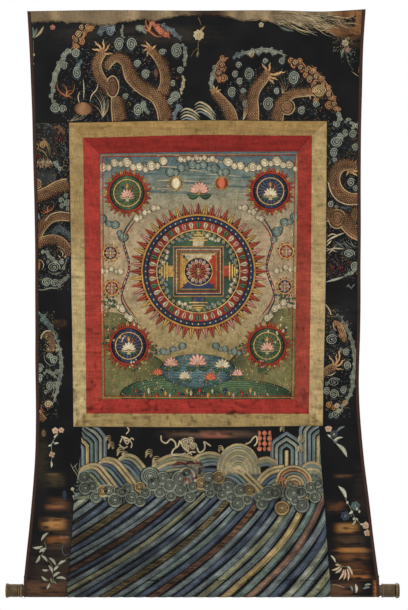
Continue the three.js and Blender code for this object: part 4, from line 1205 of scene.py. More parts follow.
def sew_waves(work):
    """Mountains, rolling waves and what floats over them, across the lower middle panel."""
    whole = Needle(work, WHOLE)
    stone = (SLATE, CLOUD, SLATE, TEAL, SAND, SLATE, TEAL)
    for feet, peak, bands in (((44, 105, 472), 413, stone), ((272, 301, 470), 433, (SLATE, CLOUD, TEAL)),
                              ((300.5, 346, 476), 411, stone)):
        left, right, base = feet
        arch_bands(work, whole.at([(left, base), (right, base)]), whole.at((0, peak))[1], bands, 11)
    work.floor += 0.45
    for row, tone in enumerate((SLATE, SAGE, CLOUD, TEAL, CLOUD, SAGE)):
        down = 472 + 4 * row
        whole.stem([(76, down + 6), (140, down + 1), (200, down - 2), (262, down + 3), (330, down + 2)], 14,
                   tone.mid, tone.dark, rise=0.15)
    for level, path, tones, drift in (
        (1, [(150, 470), (160, 460), (174, 455), (190, 457), (200, 462)], (SAND, SAGE, SAND, SLATE, SAGE),
         (0, -9)),
        (1, [(190, 462), (201, 454.5), (212, 453), (222, 456)], (SAND, SAGE, TEAL, SLATE), (2, -9)),
        (0, [(118, 461), (126, 455), (134, 456.5), (142, 464), (149, 474)], (SAND, SAGE, NAVY, SLATE),
         (-6, -8)),
        (1, [(97, 466), (106, 458.5), (115, 460), (127, 472), (139, 488)], (SAND, SAND, NAVY, TEAL, NAVY),
         (-7, -7)),
        (2, [(80, 470), (89, 465), (98, 465), (107, 474), (117, 487)], (SAND, SAND, TEAL, SAGE, TEAL),
         (-7, -8)),
        (2, [(227, 473), (235, 468), (243, 470), (253, 479), (263, 489)], (SAND, SAND, TEAL, SLATE),
         (-8, -7)),
        (1, [(254, 487), (262, 475), (272, 468), (284, 466)], (SAND, SAND, NAVY, TEAL, SAGE), (4, -9)),
        (0, [(250, 466), (258, 460), (268, 458), (276, 462)], (SAND, SAGE, SLATE), (0, -8)),
        (0, [(300, 470), (308, 463), (318, 464), (326, 474)], (SAND, TEAL, SAND, SAGE), (0, -8)),
    ):
        wave_bands(work, whole.at(path), tones, 9.5, drift, level)
    for level, path, tones, foot in (
        (1, [(218, 476), (219, 462), (225, 450.5), (237, 444.5), (249, 448), (257, 459), (260, 474)],
         (SAND, CLOUD, SAND, SAGE), 474),
        (2, [(276, 482), (281, 471), (290, 466.5), (301, 468), (309, 475), (312, 484)],
         (SAND, AMBER, TEAL, SAND), 486),
        (2, [(176, 482), (179, 473), (186, 468), (193, 472), (195, 482)], (CREAM, NAVY, SLATE, RUST), 484),
    ):
        wave_hill(work, whole.at(path), tones, 7.2, WHOLE.z - WHOLE.step * foot, level)
    work.floor += 0.6
    foam(whole, ((122, 453, 1, 5), (126, 456, 1, 3.5), (150, 455, 1, 4.6), (157, 462, 1, 4.6),
                 (220, 450, -1, 3.6), (109, 440, 1, 3.6), (112, 447, 1, 4), (246, 463, 1, 3),
                 (258, 464, 1, 3), (302, 440, 1, 4.2), (301, 450, 1, 4), (226, 466, -1, 4), (196, 462, -1, 3),
                 (76, 466, 1, 4.5), (283, 430, 1, 3)))
    for path, width, red in (
        ([(172, 466), (179, 463), (186, 463)], 9, (104, 56, 44)),
        ([(184, 465), (190, 462), (196, 464)], 8, (84, 46, 40)),
        ([(194, 463), (200, 463), (203, 467)], 8, (110, 60, 46)),
        ([(198, 467), (200, 471), (198, 475)], 8, (78, 44, 40)),
        ([(197, 473), (195, 478), (190, 480)], 7, (98, 54, 44)),
    ):
        whole.stem(path, width, red, BLOOD.dark, base=0.1, shape="leaf")
    flecks(whole, (172, 460, 204, 469), 60, (RUST, AMBER, BLOOD, NAVY), 61, 3.2)
    flecks(whole, (190, 466, 204, 482), 44, (RUST, AMBER, BLOOD, SLATE), 62, 3.2)
    whole.flame((282, 480), ((275, 475), (278, 471), (284, 471), (289, 474), (291, 481), (286, 487),
                             (280, 489), (275, 485)), 7)
    flecks(whole, (274, 472, 293, 489), 60, (CORAL, AMBER, RUST), 63, 3.2)
    for row in range(4):
        for side in range(3):
            whole.disc((259.5 + 5 * side, 433 + 5.2 * row), 2.7 if (row + side) % 2 else 1.7, 2.3,
                       CORAL.light, CORAL.mid, 0.1)
    for side in (258.5, 264.5, 270.5):
        whole.stem([(side, 430), (side + 0.6, 440), (side, 451)], 2.6, CORAL.light, CORAL.dark, rise=0.4,
                   base=0.3)
    ribbon(whole, ([(120, 443), (123, 437), (127, 444), (132, 438), (134, 440)],
                   [(121, 436), (127, 438), (132, 444), (131, 448)], [(119, 444), (124, 448), (128, 446)],
                   [(126, 434), (129, 430), (127, 426)], [(124, 440), (130, 441)]), 3.4)
    ribbon(whole, ([(161, 435), (162, 441), (166, 443), (171, 439), (175, 442), (176, 448)],
                   [(180, 440), (178, 446), (173, 450), (172, 454), (178, 455), (186, 453)],
                   [(180, 441), (184, 448), (189, 452), (192, 455)], [(186, 455), (191, 452), (196, 452)],
                   [(197, 447), (199, 452), (203, 451), (205, 445), (204, 442), (211, 446)]), 4.2)
    for x, y, r in ((185, 442, 4.6), (190.5, 440.5, 4.2), (193, 446, 4.4), (187, 448, 4.2), (126, 440, 3)):
        curl(work, whole.at((x, y)), r * 2.5, r * 2.3, CREAM)
    ribbon(whole, ([(245, 444), (250, 442), (253, 438), (256, 436), (257, 442), (254, 446)],), 4)


def sew_cloud_row(work):
    """The row of cloud heads over the foot of the waves and the heads of the stripes."""
    whole = Needle(work, WHOLE)
    gilt = {(139.9, 486.8), (218.7, 477.5), (249.3, 490), (201.4, 483.6), (281.9, 508), (103.2, 491)}
    for x, y, r in (
        (84.3, 477, 7), (85.3, 488, 7), (92.6, 486, 6), (103.2, 491, 6.5), (108.7, 490.5, 7),
        (115.1, 500, 7.5), (122.4, 492, 5), (128, 488.6, 6), (131.6, 497, 7), (139.9, 486.8, 5.5),
        (145.4, 492.7, 6), (150, 476, 9.5), (153.7, 483.6, 8), (162.8, 478, 7), (169.3, 485.4, 7),
        (180.3, 479, 9), (180.3, 490, 7), (186.7, 472.5, 6), (193.2, 486.3, 6), (201.4, 483.6, 7),
        (209.1, 478.5, 7), (218.7, 477.5, 7), (207.2, 486, 6), (218.7, 488, 6), (222.5, 494.7, 6),
        (210.6, 493.3, 5), (240.7, 490, 7), (249.3, 490, 7.5), (237.8, 503.3, 8), (247.4, 499.5, 5.5),
        (258.9, 496.7, 5), (268.5, 492.8, 8), (275.2, 492.8, 6), (293.3, 492.8, 8.5), (301, 491.9, 6),
        (281.9, 508, 7.5), (302, 505.3, 7.5), (310.6, 487, 7), (295, 500.5, 5), (318, 483, 5), (96, 497, 6),
        (140, 501, 6), (160, 492, 6), (190, 497, 6), (228, 487, 6.5), (231, 497, 6), (262, 504, 6),
        (290, 484, 5), (315, 497, 6), (171, 496, 5.5),
    ):
        curl(work, whole.at((x, y)), r * 0.98 * WHOLE.step, r * 0.94 * WHOLE.step,
             GILT if (x, y) in gilt else CLOUD, filled=True)


# Stripes of standing water below the waves: where each meets the stitch line, and its threads.
STRIPE_TOP = -1205.0
STRIPE_SPAN = (-365, 375)
LAST_STRIPE = 374
STRIPES = (
    (-745, SLATE), (-715, NAVY), (-680, SAGE), (-645, SLATE), (-610, CLOUD), (-576, SLATE), (-542, NAVY),
    (-512, SLATE), (-482, WEARY), (-452, NAVY), (-422, SLATE), (-392, SLATE), (-362, RUSSET), (-333, NAVY),
    (-304, SLATE), (-275, SAGE), (-247, SLATE), (-219, NAVY), (-191, SLATE), (-163, WEARY), (-135, SLATE),
    (-107, TEAL), (-79, NAVY), (-50, RUSSET), (-22, SLATE), (6, NAVY), (34, SLATE), (62, SAGE), (90, SLATE),
    (120, GILT), (149, TEAL), (178, ROSY), (206, SLATE), (234, NAVY), (262, CLOUD), (290, SLATE), (318, SAGE),
    (346, TEAL),
)


def sew_stripes(work):
    """Slanting stripes of twisted cord, which lean over as they rise and run on round the roller."""
    down = np.concatenate([np.linspace(STRIPE_TOP, STITCH_Z, 30), np.linspace(STITCH_Z, -1500, 40)[1:]])
    seen = np.where(down >= STITCH_Z, down, np.interp(STITCH_Z - down, ARC, SLEEVE[:, 1]))
    rise = seen - STITCH_Z
    noise = np.random.default_rng(5)
    for (foot, tone), (after, _) in zip(STRIPES, STRIPES[1:] + ((LAST_STRIPE, None),)):
        bend = max(foot, -420)
        x = foot + (1.35 - 0.0016 * bend) * rise - 0.0019 * rise ** 2
        x += 2.2 * np.sin(down / 31 + foot)
        pitch = (after - foot) * (1 - 0.0016 * rise * (foot > -420))
        near = (x > STRIPE_SPAN[0]) & (x < STRIPE_SPAN[1])
        if near.sum() < 3:
            continue
        line, room = np.stack([x, down], axis=1)[near], pitch[near]
        patchy = tone in (WEARY, RUSSET)
        shades = noise.uniform(0.15 if patchy else 0.84, 0.95 if patchy else 1.08, 220 if patchy else 40)
        work.stroke(line, room * 1.02, NAVY.dark, rise=0.1, step=6.0, shape="ring", columns=3, level=True,
                    curved=False)
        work.stroke(line, room * 0.78, shades[:, None] * np.array(tone.light) * 0.96, tone.mid, rise=0.6,
                    base=0.04, step=2.3, shape="ring", columns=7, twist=7.4, level=True, curved=False)
        if not patchy:
            cord = line + np.stack([room * (0.16 + 0.1 * np.sin(down[near] / 23 + foot)), 0 * room], axis=1)
            work.stroke(cord, 2.4, tone.dark, rise=0.12, base=0.5, step=5.0, shape="ring", columns=3,
                        level=True, curved=False)


# Where the silk is rubbed through or browned: the middle and half-size of a soft patch.
Worn = namedtuple("Worn", "x z reach_x reach_z colour strength")
BARE = (170, 122, 72)
BROWN = (92, 64, 45)
RUBBED = (82, 62, 44)
WORN = [
    Worn(-352, -1174, 22, 17, (74, 64, 44), 0.8), Worn(-360, -1161, 16, 3, (112, 90, 60), 0.9),
    Worn(-347, -1234, 28, 15, BROWN, 0.9), Worn(-352, -1241, 22, 4, (140, 92, 58), 0.9),
    Worn(-355, -1284, 29, 14, BARE, 1.0), Worn(-335, -1304, 20, 4, RUBBED, 0.8),
    Worn(-347, -1324, 27, 10, (136, 86, 46), 1.0), Worn(-330, -1316, 12, 3, (182, 134, 98), 0.9),
    Worn(-352, -1341, 30, 8, RUBBED, 0.9), Worn(-366, -1400, 60, 70, (58, 46, 40), 0.7),
    Worn(-378, -1452, 62, 24, BROWN, 1.0), Worn(-395, -1490, 50, 20, RUBBED, 0.8),
    Worn(-385, -1120, 16, 70, (54, 48, 38), 0.7), Worn(370, -1164, 22, 4, (96, 70, 48), 0.9),
    Worn(352, -1241, 22, 14, (94, 60, 42), 0.9), Worn(377, -1294, 26, 12, BARE, 1.0),
    Worn(382, -1326, 34, 13, RUBBED, 0.9), Worn(390, -1349, 39, 6, (168, 116, 66), 1.0),
    Worn(390, -1366, 39, 8, (110, 72, 44), 1.0), Worn(390, -1386, 38, 9, (88, 58, 38), 1.0),
    Worn(392, -1401, 38, 5, (126, 82, 48), 1.0), Worn(405, -1416, 28, 7, (164, 108, 60), 1.0),
    Worn(418, -1200, 22, 60, (54, 44, 38), 0.6), Worn(362, -1455, 46, 26, BROWN, 1.0),
    Worn(452, -1450, 9, 26, (176, 114, 62), 1.0), Worn(35, -1059, 100, 8, (108, 84, 66), 0.9),
    Worn(48, -1060, 32, 6, (176, 108, 88), 1.0),
    Worn(-342, -781, 16, 7, BROWN, 0.9), Worn(-230, -1300, 90, 60, (60, 54, 46), 0.8),
    Worn(-200, -1420, 120, 30, RUBBED, 0.7), Worn(60, -1480, 260, 24, (52, 50, 46), 0.6),
    Worn(365, -760, 50, 40, (44, 42, 42), 0.6), Worn(-365, -340, 40, 60, (46, 42, 38), 0.5),
    Worn(-150, -60, 200, 20, (58, 52, 44), 0.6), Worn(392, -46, 26, 40, (96, 70, 48), 0.8),
]


def silk_ground(x, z):
    """The dark silk's colour, with its worn patches streaked along the weft."""
    ground = np.tile(linear((24, 24, 25)), (len(x), 1))
    ground *= (0.75 + 0.5 * value_noise(x, z, 40, 3))[:, None]
    streaks = smoothstep(value_noise(x, z, 2.4, 4, stretch=12) + 0.4 * value_noise(x, z, 11, 5), 0.2, 0.8)
    for spot in WORN:
        near = np.exp(-((x - spot.x) / spot.reach_x) ** 4 - ((z - spot.z) / spot.reach_z) ** 4)
        share = (near * spot.strength * streaks)[:, None]
        ground = ground * (1 - share) + linear(spot.colour) * share
    return ground


# The tan silk left along the top edge: where its torn lower side runs, in grid steps
HEADING_LEFT = ((215, 150), (250, 178), (290, 160), (365, 165), (450, 158), (520, 175), (600, 165),
                (680, 180), (760, 190), (860, 185), (950, 165), (1030, 150), (1110, 140), (1200, 155),
                (1300, 130), (1400, 115), (1568, 110))
HEADING_RIGHT = ((0, 112), (90, 116), (200, 130), (280, 155), (400, 150), (520, 160), (640, 185), (760, 170),
                 (830, 190), (900, 220), (980, 255), (1060, 285), (1150, 268), (1240, 280))


# The border strips' colours at the upper and the lower end of each, with painted sheen: lying strips are set
# darker than upright ones of the same silk, and the change from end to end is partly painted light, partly
# uneven fading
STRIP_COLOURS_AND_SHEEN = {
    "gold_top": ((160, 130, 81), (160, 130, 81)), "gold_bottom": ((165, 141, 93), (165, 141, 93)),
    "gold_left": ((163, 137, 91), (188, 168, 119)), "gold_right": ((175, 151, 104), (188, 163, 117)),
    "red_top": ((136, 41, 35), (136, 41, 35)), "red_bottom": ((163, 54, 46), (163, 54, 46)),
    "red_left": ((165, 58, 49), (169, 63, 53)), "red_right": ((152, 56, 46), (158, 68, 54)),
}


def strip_ground(name):
    """The colours of a border strip: its painted sheen and its change from end to end, slubs, stains, and
    painted shade and highlight along its fold lines.
    """
    upper, lower = (linear(tone) for tone in STRIP_COLOURS_AND_SHEEN[name])
    lying = name.endswith(("top", "bottom"))

    def ground(x, z):
        # From the upper colour to the lower one: partly painted light, partly uneven fading.
        share = smoothstep(-z, 520, 680)[:, None]
        tone = upper * (1 - share) + lower * share
        slub = value_noise(x, z, 2.6, 21, stretch=14 if lying else 9)
        patch = value_noise(x, z, 22, 22) + 0.7 * value_noise(x, z, 7, 23)
        stain = smoothstep(value_noise(x, z, 9, 24) + 0.16 * smoothstep(-z, 700, 1000), 0.84, 0.99)
        # Painted shade and highlight of the fold lines: every 47 mm a dark band, with a light band 6 mm above
        # it.
        folds = np.exp(-(((z + 37 + 0.02 * x) % 47 - 23) / 2.2) ** 2) * value_noise(x, z, 60, 25)
        light = 0.58 + 0.3 * slub + 0.32 * patch - 0.42 * stain - 0.3 * folds
        light += 0.2 * np.exp(-(((z + 31 + 0.02 * x) % 47 - 23) / 3) ** 2) * value_noise(x, z, 60, 25)
        return tone * light[:, None]

    return ground


def torn_heading(work):
    """The worn strip along the top edge, its torn fringe and its stray threads."""
    rows = [Needle(work, grid).at(np.array(table)) for grid, table in
            ((TOP_LEFT, HEADING_LEFT), (TOP_RIGHT, HEADING_RIGHT))]
    lower = np.vstack(rows)
    x = np.arange(lower[0, 0] + 2, lower[-1, 0], 3.2)
    bottom = np.interp(x, *lower.T)
    bottom += RNG.normal(0, 1.1, len(x)) + 2.5 * (value_noise(x, 0 * x, 9, 8) - 0.5)
    top = top_edge(x) + 1
    tan, brown, orange = (137, 118, 90), (76, 58, 44), (120, 84, 54)
    tone_at = np.array([-430, -40, 10, 60, 90, 330, 345, 420], float)
    tones = np.array([tan, tan, brown, brown, tan, tan, orange, orange], float)
    colours = np.stack([np.interp(x, tone_at, tones[:, k]) for k in range(3)], axis=1)
    colours *= (0.8 + 0.4 * value_noise(x, 0 * x, 22, 9))[:, None]
    work.stroke(np.stack([x, (top + bottom) / 2], axis=1), top - bottom, colours, rise=0.3, shape="ring",
                step=3.2, columns=9, flat_top=True)
    for _ in range(520):
        i = RNG.integers(2, len(x) - 14)
        reach = RNG.integers(3, 12)
        fall = RNG.uniform(-2, 5)
        drop = np.linspace(RNG.uniform(-1, 3), fall, reach)
        path = np.stack([x[i:i + reach], bottom[i:i + reach] + 1.5 - np.abs(drop)], axis=1)
        shade = colours[i] * RNG.uniform(0.55, 1.25)
        work.stroke(path, RNG.uniform(0.6, 1.2), shade, rise=0.3, base=0.25, shape="leaf", columns=3, step=3)
    for _ in range(170):
        share = RNG.uniform(0, 1)
        at = np.array([352 + 44 * share * RNG.choice([-1, 1]), -28 - 13 * share * RNG.uniform(-1, 1)])
        work.stroke([at, at + (RNG.uniform(4, 11), RNG.uniform(-4, 4))], RNG.uniform(2, 6), (30, 27, 26),
                    rise=0.1, base=0.33, shape="leaf")
    for _ in range(130):
        start = np.array([RNG.uniform(180, 350), RNG.uniform(-34, -6)])
        sweep = RNG.uniform(25, 80)
        sink = RNG.uniform(0.0, 0.5)
        path = [start, start + (sweep * 0.35, -sweep * RNG.uniform(-0.06, 0.24)),
                start + (sweep * 0.7, -sweep * (0.7 * sink + RNG.uniform(-0.08, 0.1))),
                start + (sweep, -sweep * sink)]
        shade = np.array((188, 170, 134)) * RNG.choice([0.2, 0.5, 0.75, 0.95, 1.05])
        work.stroke(path, RNG.uniform(0.8, 2.2), shade, rise=0.3, base=0.45, shape="leaf", columns=3, step=4)


# The meshes worked on each sheet, by its panel
SHEET_WORK = {}


def embroider():
    """All needlework, one mesh a panel, and the stripes apart."""
    thread = silk_thread()
    works = {name: Relief() for name in PANELS if name.endswith("panel")}
    sew_top_panel(works["top_panel"])
    sew_left_side(Needle(works["left_panel"], WHOLE))
    sew_right_side(Needle(works["right_panel"], WHOLE))
    sew_foot_sides(works["lower_left_panel"], works["lower_right_panel"])
    sew_waves(works["lower_middle_panel"])
    for name, work in works.items():
        obj = work.finish(f"{name}_embroidery", PANELS[name], thread, "dark_silk")
        SHEET_WORK.setdefault(name, []).append(obj)
    for name, sew, floor in (("foot_stripes", sew_stripes, 0.02), ("foot_clouds", sew_cloud_row, 1.1)):
        work = Relief(floor)
        sew(work)
        obj = work.finish(name, PANELS["lower_middle_panel"], thread, "dark_silk", 0.9)
        SHEET_WORK["lower_middle_panel"].append(obj)
    heading = Relief(0.9)
    torn_heading(heading)
    obj = heading.finish("heading_silk", PANELS["top_panel"], tinted_weave("heading_weave"), "dark_silk")
    SHEET_WORK["top_panel"].append(obj)


# Paints of the picture
Paint = namedtuple("Paint", "light mid dark")
SKY = Paint((142, 152, 138), (104, 120, 112), (58, 72, 72))
HILL = Paint((156, 148, 98), (116, 112, 72), (62, 66, 46))
LEAF = Paint((120, 140, 104), (72, 96, 68), (36, 52, 42))
LAPIS = Paint((98, 112, 132), (48, 60, 84), (26, 32, 48))
VERMILION = Paint((206, 112, 78), (158, 58, 42), (92, 34, 30))
ORPIMENT = Paint((226, 192, 120), (188, 142, 76), (110, 78, 44))
SHELL = Paint((222, 208, 176), (190, 172, 138), (110, 92, 70))
ROSE = Paint((224, 176, 154), (186, 122, 106), (112, 62, 56))
WATER = Paint((128, 148, 144), (78, 104, 108), (44, 62, 68))
MANDALA = (6.0, -652.0)


def around(centre, radius, turn):
    """The point of a circle at an angle."""
    return np.array([centre[0] + radius * math.cos(turn), centre[1] + radius * math.sin(turn)])


def ring(work, centre, radius, width, colour, edge=None, base=0.0, rise=0.08):
    """A plain round ring."""
    turn = np.linspace(0, 2 * np.pi, max(14, int(radius / 2)))
    work.stroke(ellipse(centre, radius, radius, turn), width, colour, edge, rise, base, "ring",
                step=max(1.6, radius / 12))


def wheel(work, centre, inner, outer, count, width, paints, base, shape="petal", start=0.0):
    """Petals, rays or flames set round a centre in turns of paint."""
    for i in range(count):
        turn = start + 2 * math.pi * i / count
        paint = paints[i % len(paints)]
        path = [around(centre, inner, turn), around(centre, (inner + outer) / 2, turn),
                around(centre, outer, turn)]
        work.stroke(path, width * 1.2, paint.dark, rise=0.06, base=base, shape=shape)
        work.stroke(path, width * 0.92, paint.mid, paint.light, rise=0.1, base=base + 0.03, shape=shape)
        work.stroke(path, width * 0.2, paint.dark, rise=0.06, base=base + 0.12, shape=shape, columns=3)


def lotus(work, centre, size, paint, base=0.3, petals=7):
    """An open lotus seen from the side, on two leaves."""
    x, z = centre
    for side in (-1, 1):
        path = [(x, z - size * 0.2), (x + side * size * 0.6, z - size * 0.35),
                (x + side * size, z - size * 0.1)]
        work.stroke(path, size * 0.42, LEAF.mid, LEAF.dark, rise=0.08, base=base - 0.05, shape="leaf")
    for i in sorted(range(petals), key=lambda k: -abs(k - (petals - 1) / 2)):
        turn = math.pi * (0.08 + 0.84 * i / (petals - 1))
        tip = around(centre, size * (0.75 + 0.2 * math.sin(turn)), turn)
        path = [centre, (np.array(centre) + tip) / 2, tip]
        work.stroke(path, size * 0.4, paint.dark, rise=0.06, base=base, shape="petal")
        work.stroke(path, size * 0.32, paint.light, paint.mid, rise=0.1, base=base + 0.03, shape="petal")
    disc(work, centre, size * 0.2, size * 0.12, ORPIMENT.mid, ORPIMENT.dark, base + 0.1, 0.08)


def jewel(work, centre, size, paint, base=0.4):
    """A drop-shaped jewel with its glint."""
    x, z = centre
    work.stroke([(x, z - size), (x, z), (x, z + size * 1.3)], size * 1.5, paint.mid, paint.dark, rise=0.1,
                base=base, shape="petal")
    disc(work, (x - size * 0.16, z - size * 0.1), size * 0.2, size * 0.3, paint.light, base=base + 0.1,
         rise=0.06)


def halo_medallion(work, centre, size, glow, heart, turn):
    """A flame-rimmed halo round a jewelled lotus."""
    wheel(work, centre, size * 0.84, size * 1.16, 30, size * 0.2, (VERMILION, ORPIMENT, VERMILION), 0.2,
          "claw", turn)
    ring(work, centre, size * 0.86, size * 0.12, VERMILION.mid, VERMILION.dark, 0.3)
    disc(work, centre, size * 0.8, size * 0.8, glow.mid, glow.dark, 0.28, 0.06)
    for i in range(20):
        ray = turn + 2 * math.pi * i / 20
        work.stroke([around(centre, size * 0.2, ray), around(centre, size * 0.74, ray)], 0.7, ORPIMENT.mid,
                    rise=0.05, base=0.36, columns=3)
    ring(work, centre, size * 0.62, size * 0.05, ORPIMENT.light, ORPIMENT.dark, 0.38)
    disc(work, (centre[0], centre[1] - size * 0.24), size * 0.4, size * 0.16, SHELL.mid, SHELL.dark, 0.4,
         0.05)
    lotus(work, (centre[0], centre[1] - size * 0.2), size * 0.42, heart, 0.46)
    jewel(work, (centre[0], centre[1] + size * 0.28), size * 0.13, ORPIMENT, 0.5)
    for side in (-1, 1):
        jewel(work, (centre[0] + side * size * 0.2, centre[1] + size * 0.2), size * 0.1,
              LAPIS if side < 0 else VERMILION, 0.5)


def cloud_bank(work, path, size, paint, base=0.08):
    """Painted scroll clouds along a path, large and small by turns."""
    line = smooth(path, size * 0.75)
    for i, spot in enumerate(line):
        reach = size * (0.62, 0.42, 0.54, 0.36)[i % 4]
        low = (spot[0] + size * 0.12, spot[1] - (size * 0.3 if i % 2 else 0))
        disc(work, low, reach * 1.12, reach * 0.96, paint.dark, base=base, rise=0.05)
        disc(work, low, reach, reach * 0.84, paint.light, paint.mid, base + 0.03, 0.07)
        turn = np.linspace(0.4, 3.3 * np.pi, 16)
        shrink = reach * (0.86 - 0.66 * turn / turn[-1])
        work.stroke(ellipse(low, shrink, 0.84 * shrink, turn), reach * 0.11, paint.dark, rise=0.05,
                    base=base + 0.09, shape="ring", columns=3, step=reach * 0.3)


def flowering_tree(work, foot, height, lean, paint):
    """A thin trunk under a loose crown of leaves, then blossoms."""
    x, z = foot
    trunk = [(x, z), (x + lean * 0.3, z + height * 0.35), (x + lean * 0.2, z + height * 0.7),
             (x + lean, z + height)]
    work.stroke(trunk, height * 0.09, SCALE.mid, SCALE.dark, rise=0.1, base=0.12, shape="hair")
    for _ in range(26):
        spot = (x + lean * 0.7 + RNG.normal(0, height * 0.19), z + height * (0.78 + RNG.normal(0, 0.15)))
        disc(work, spot, height * 0.07, height * 0.055, LEAF.mid, LEAF.dark, 0.2 + RNG.uniform(0, 0.04), 0.06)
    for _ in range(12):
        spot = (x + lean * 0.7 + RNG.normal(0, height * 0.17), z + height * (0.8 + RNG.normal(0, 0.14)))
        disc(work, spot, height * 0.032, height * 0.032, paint.light, paint.mid, 0.3, 0.06)


def square(work, half, width, colour, edge=None, base=0.5):
    """A square frame about the mandala's middle."""
    x, z = MANDALA
    corners = [(-half, -half), (half, -half), (half, half), (-half, half), (-half, -half)]
    work.stroke([(x + a, z + b) for a, b in corners], width, colour, edge, rise=0.07, base=base, shape="ring",
                curved=False, step=4)


def paint_mandala(work):
    """The generic middle: rings of flame, jewels and petals round a four-gated court and a lotus."""
    centre = MANDALA
    work.floor += 0.15
    wheel(work, centre, 144, 172, 56, 13, (VERMILION, ORPIMENT, VERMILION, ROSE), 0.18, "claw")
    disc(work, centre, 149, 149, VERMILION.mid, VERMILION.dark, 0.16, 0.05)
    ring(work, centre, 141, 6, ORPIMENT.mid, ORPIMENT.dark, 0.26)
    ring(work, centre, 132, 13, LAPIS.mid, LAPIS.dark, 0.26)
    for i in range(56):
        disc(work, around(centre, 132, 2 * math.pi * i / 56), 2.1, 2.1, ORPIMENT.light, ORPIMENT.dark, 0.35,
             0.06)
    wheel(work, centre, 104, 125, 40, 13, (ROSE, SHELL, LEAF, SHELL), 0.3)
    ring(work, centre, 104, 3, ORPIMENT.light, ORPIMENT.dark, 0.46)
    disc(work, centre, 102, 102, LEAF.mid, WATER.dark, 0.4, 0.05)
    for i in range(8):
        turn = math.pi * (i + 0.5) / 4
        cloud_bank(work, [around(centre, 92, turn - 0.16), around(centre, 88, turn),
                          around(centre, 92, turn + 0.16)], 9, SHELL if i % 2 else SKY, 0.47)
    for i in range(44):
        turn = 2 * math.pi * i / 44
        spot = around(centre, 97, turn)
        curve = np.linspace(0, 3 * np.pi, 12)
        reach = 4.4 * (1 - 0.8 * curve / curve[-1])
        scroll = ellipse(spot, reach, reach, curve + turn)
        work.stroke(scroll, 1.0, ORPIMENT.light, rise=0.05, base=0.46, shape="ring", columns=3, step=1.6)
    x, z = centre
    for turn, paint in zip((0, 1, 2, 3), (VERMILION, SHELL, ORPIMENT, LAPIS)):
        out = np.array([math.cos(turn * math.pi / 2), math.sin(turn * math.pi / 2)])
        gate = [np.array(centre) + out * 58, np.array(centre) + out * 84]
        work.stroke(gate, 34, ORPIMENT.dark, rise=0.05, base=0.5, shape="ring")
        work.stroke(gate, 29, paint.mid, paint.light, rise=0.06, base=0.53, shape="ring")
        side = np.array([-out[1], out[0]])
        for step, width in ((78, 46), (85, 36), (91, 24), (96, 12)):
            spot = np.array(centre) + out * step
            work.stroke([spot - side * width / 2, spot + side * width / 2], 4.6, ORPIMENT.light,
                        ORPIMENT.dark, rise=0.08, base=0.6, shape="ring")
        work.stroke([centre, np.array(centre) + out * 62], [6, 124], paint.mid, paint.mid, rise=0.05,
                    base=0.5, shape="ring", columns=9)
        for row in range(4):
            for k in range(-row - 1, row + 2):
                spot = np.array(centre) + out * (26 + 9 * row) + side * k * 9.5
                disc(work, spot, 1.7, 1.7, paint.light, paint.dark, 0.585, 0.05)
    for half, width, paint in ((62, 3, ORPIMENT), (58.5, 3, LAPIS), (55, 3, SHELL), (51.5, 3, VERMILION),
                               (48, 3, LEAF), (44.5, 2.4, ORPIMENT)):
        square(work, half, width, paint.mid, paint.dark, 0.62)
    for a in (-1, 1):
        for b in (-1, 1):
            jewel(work, (x + a * 36, z + b * 36), 4.4, VERMILION if a * b > 0 else LAPIS, 0.62)
    disc(work, centre, 35, 35, LAPIS.mid, LAPIS.dark, 0.62, 0.05)
    ring(work, centre, 35, 2.2, ORPIMENT.light, ORPIMENT.dark, 0.68)
    wheel(work, centre, 12, 32, 16, 9, (SHELL, ROSE), 0.68, start=0.2)
    wheel(work, centre, 6, 22, 8, 11, (VERMILION,), 0.8)
    disc(work, centre, 8, 8, ORPIMENT.light, ORPIMENT.dark, 0.95, 0.1)
    wheel(work, centre, 1.5, 6.5, 8, 3, (VERMILION, LEAF), 1.02)


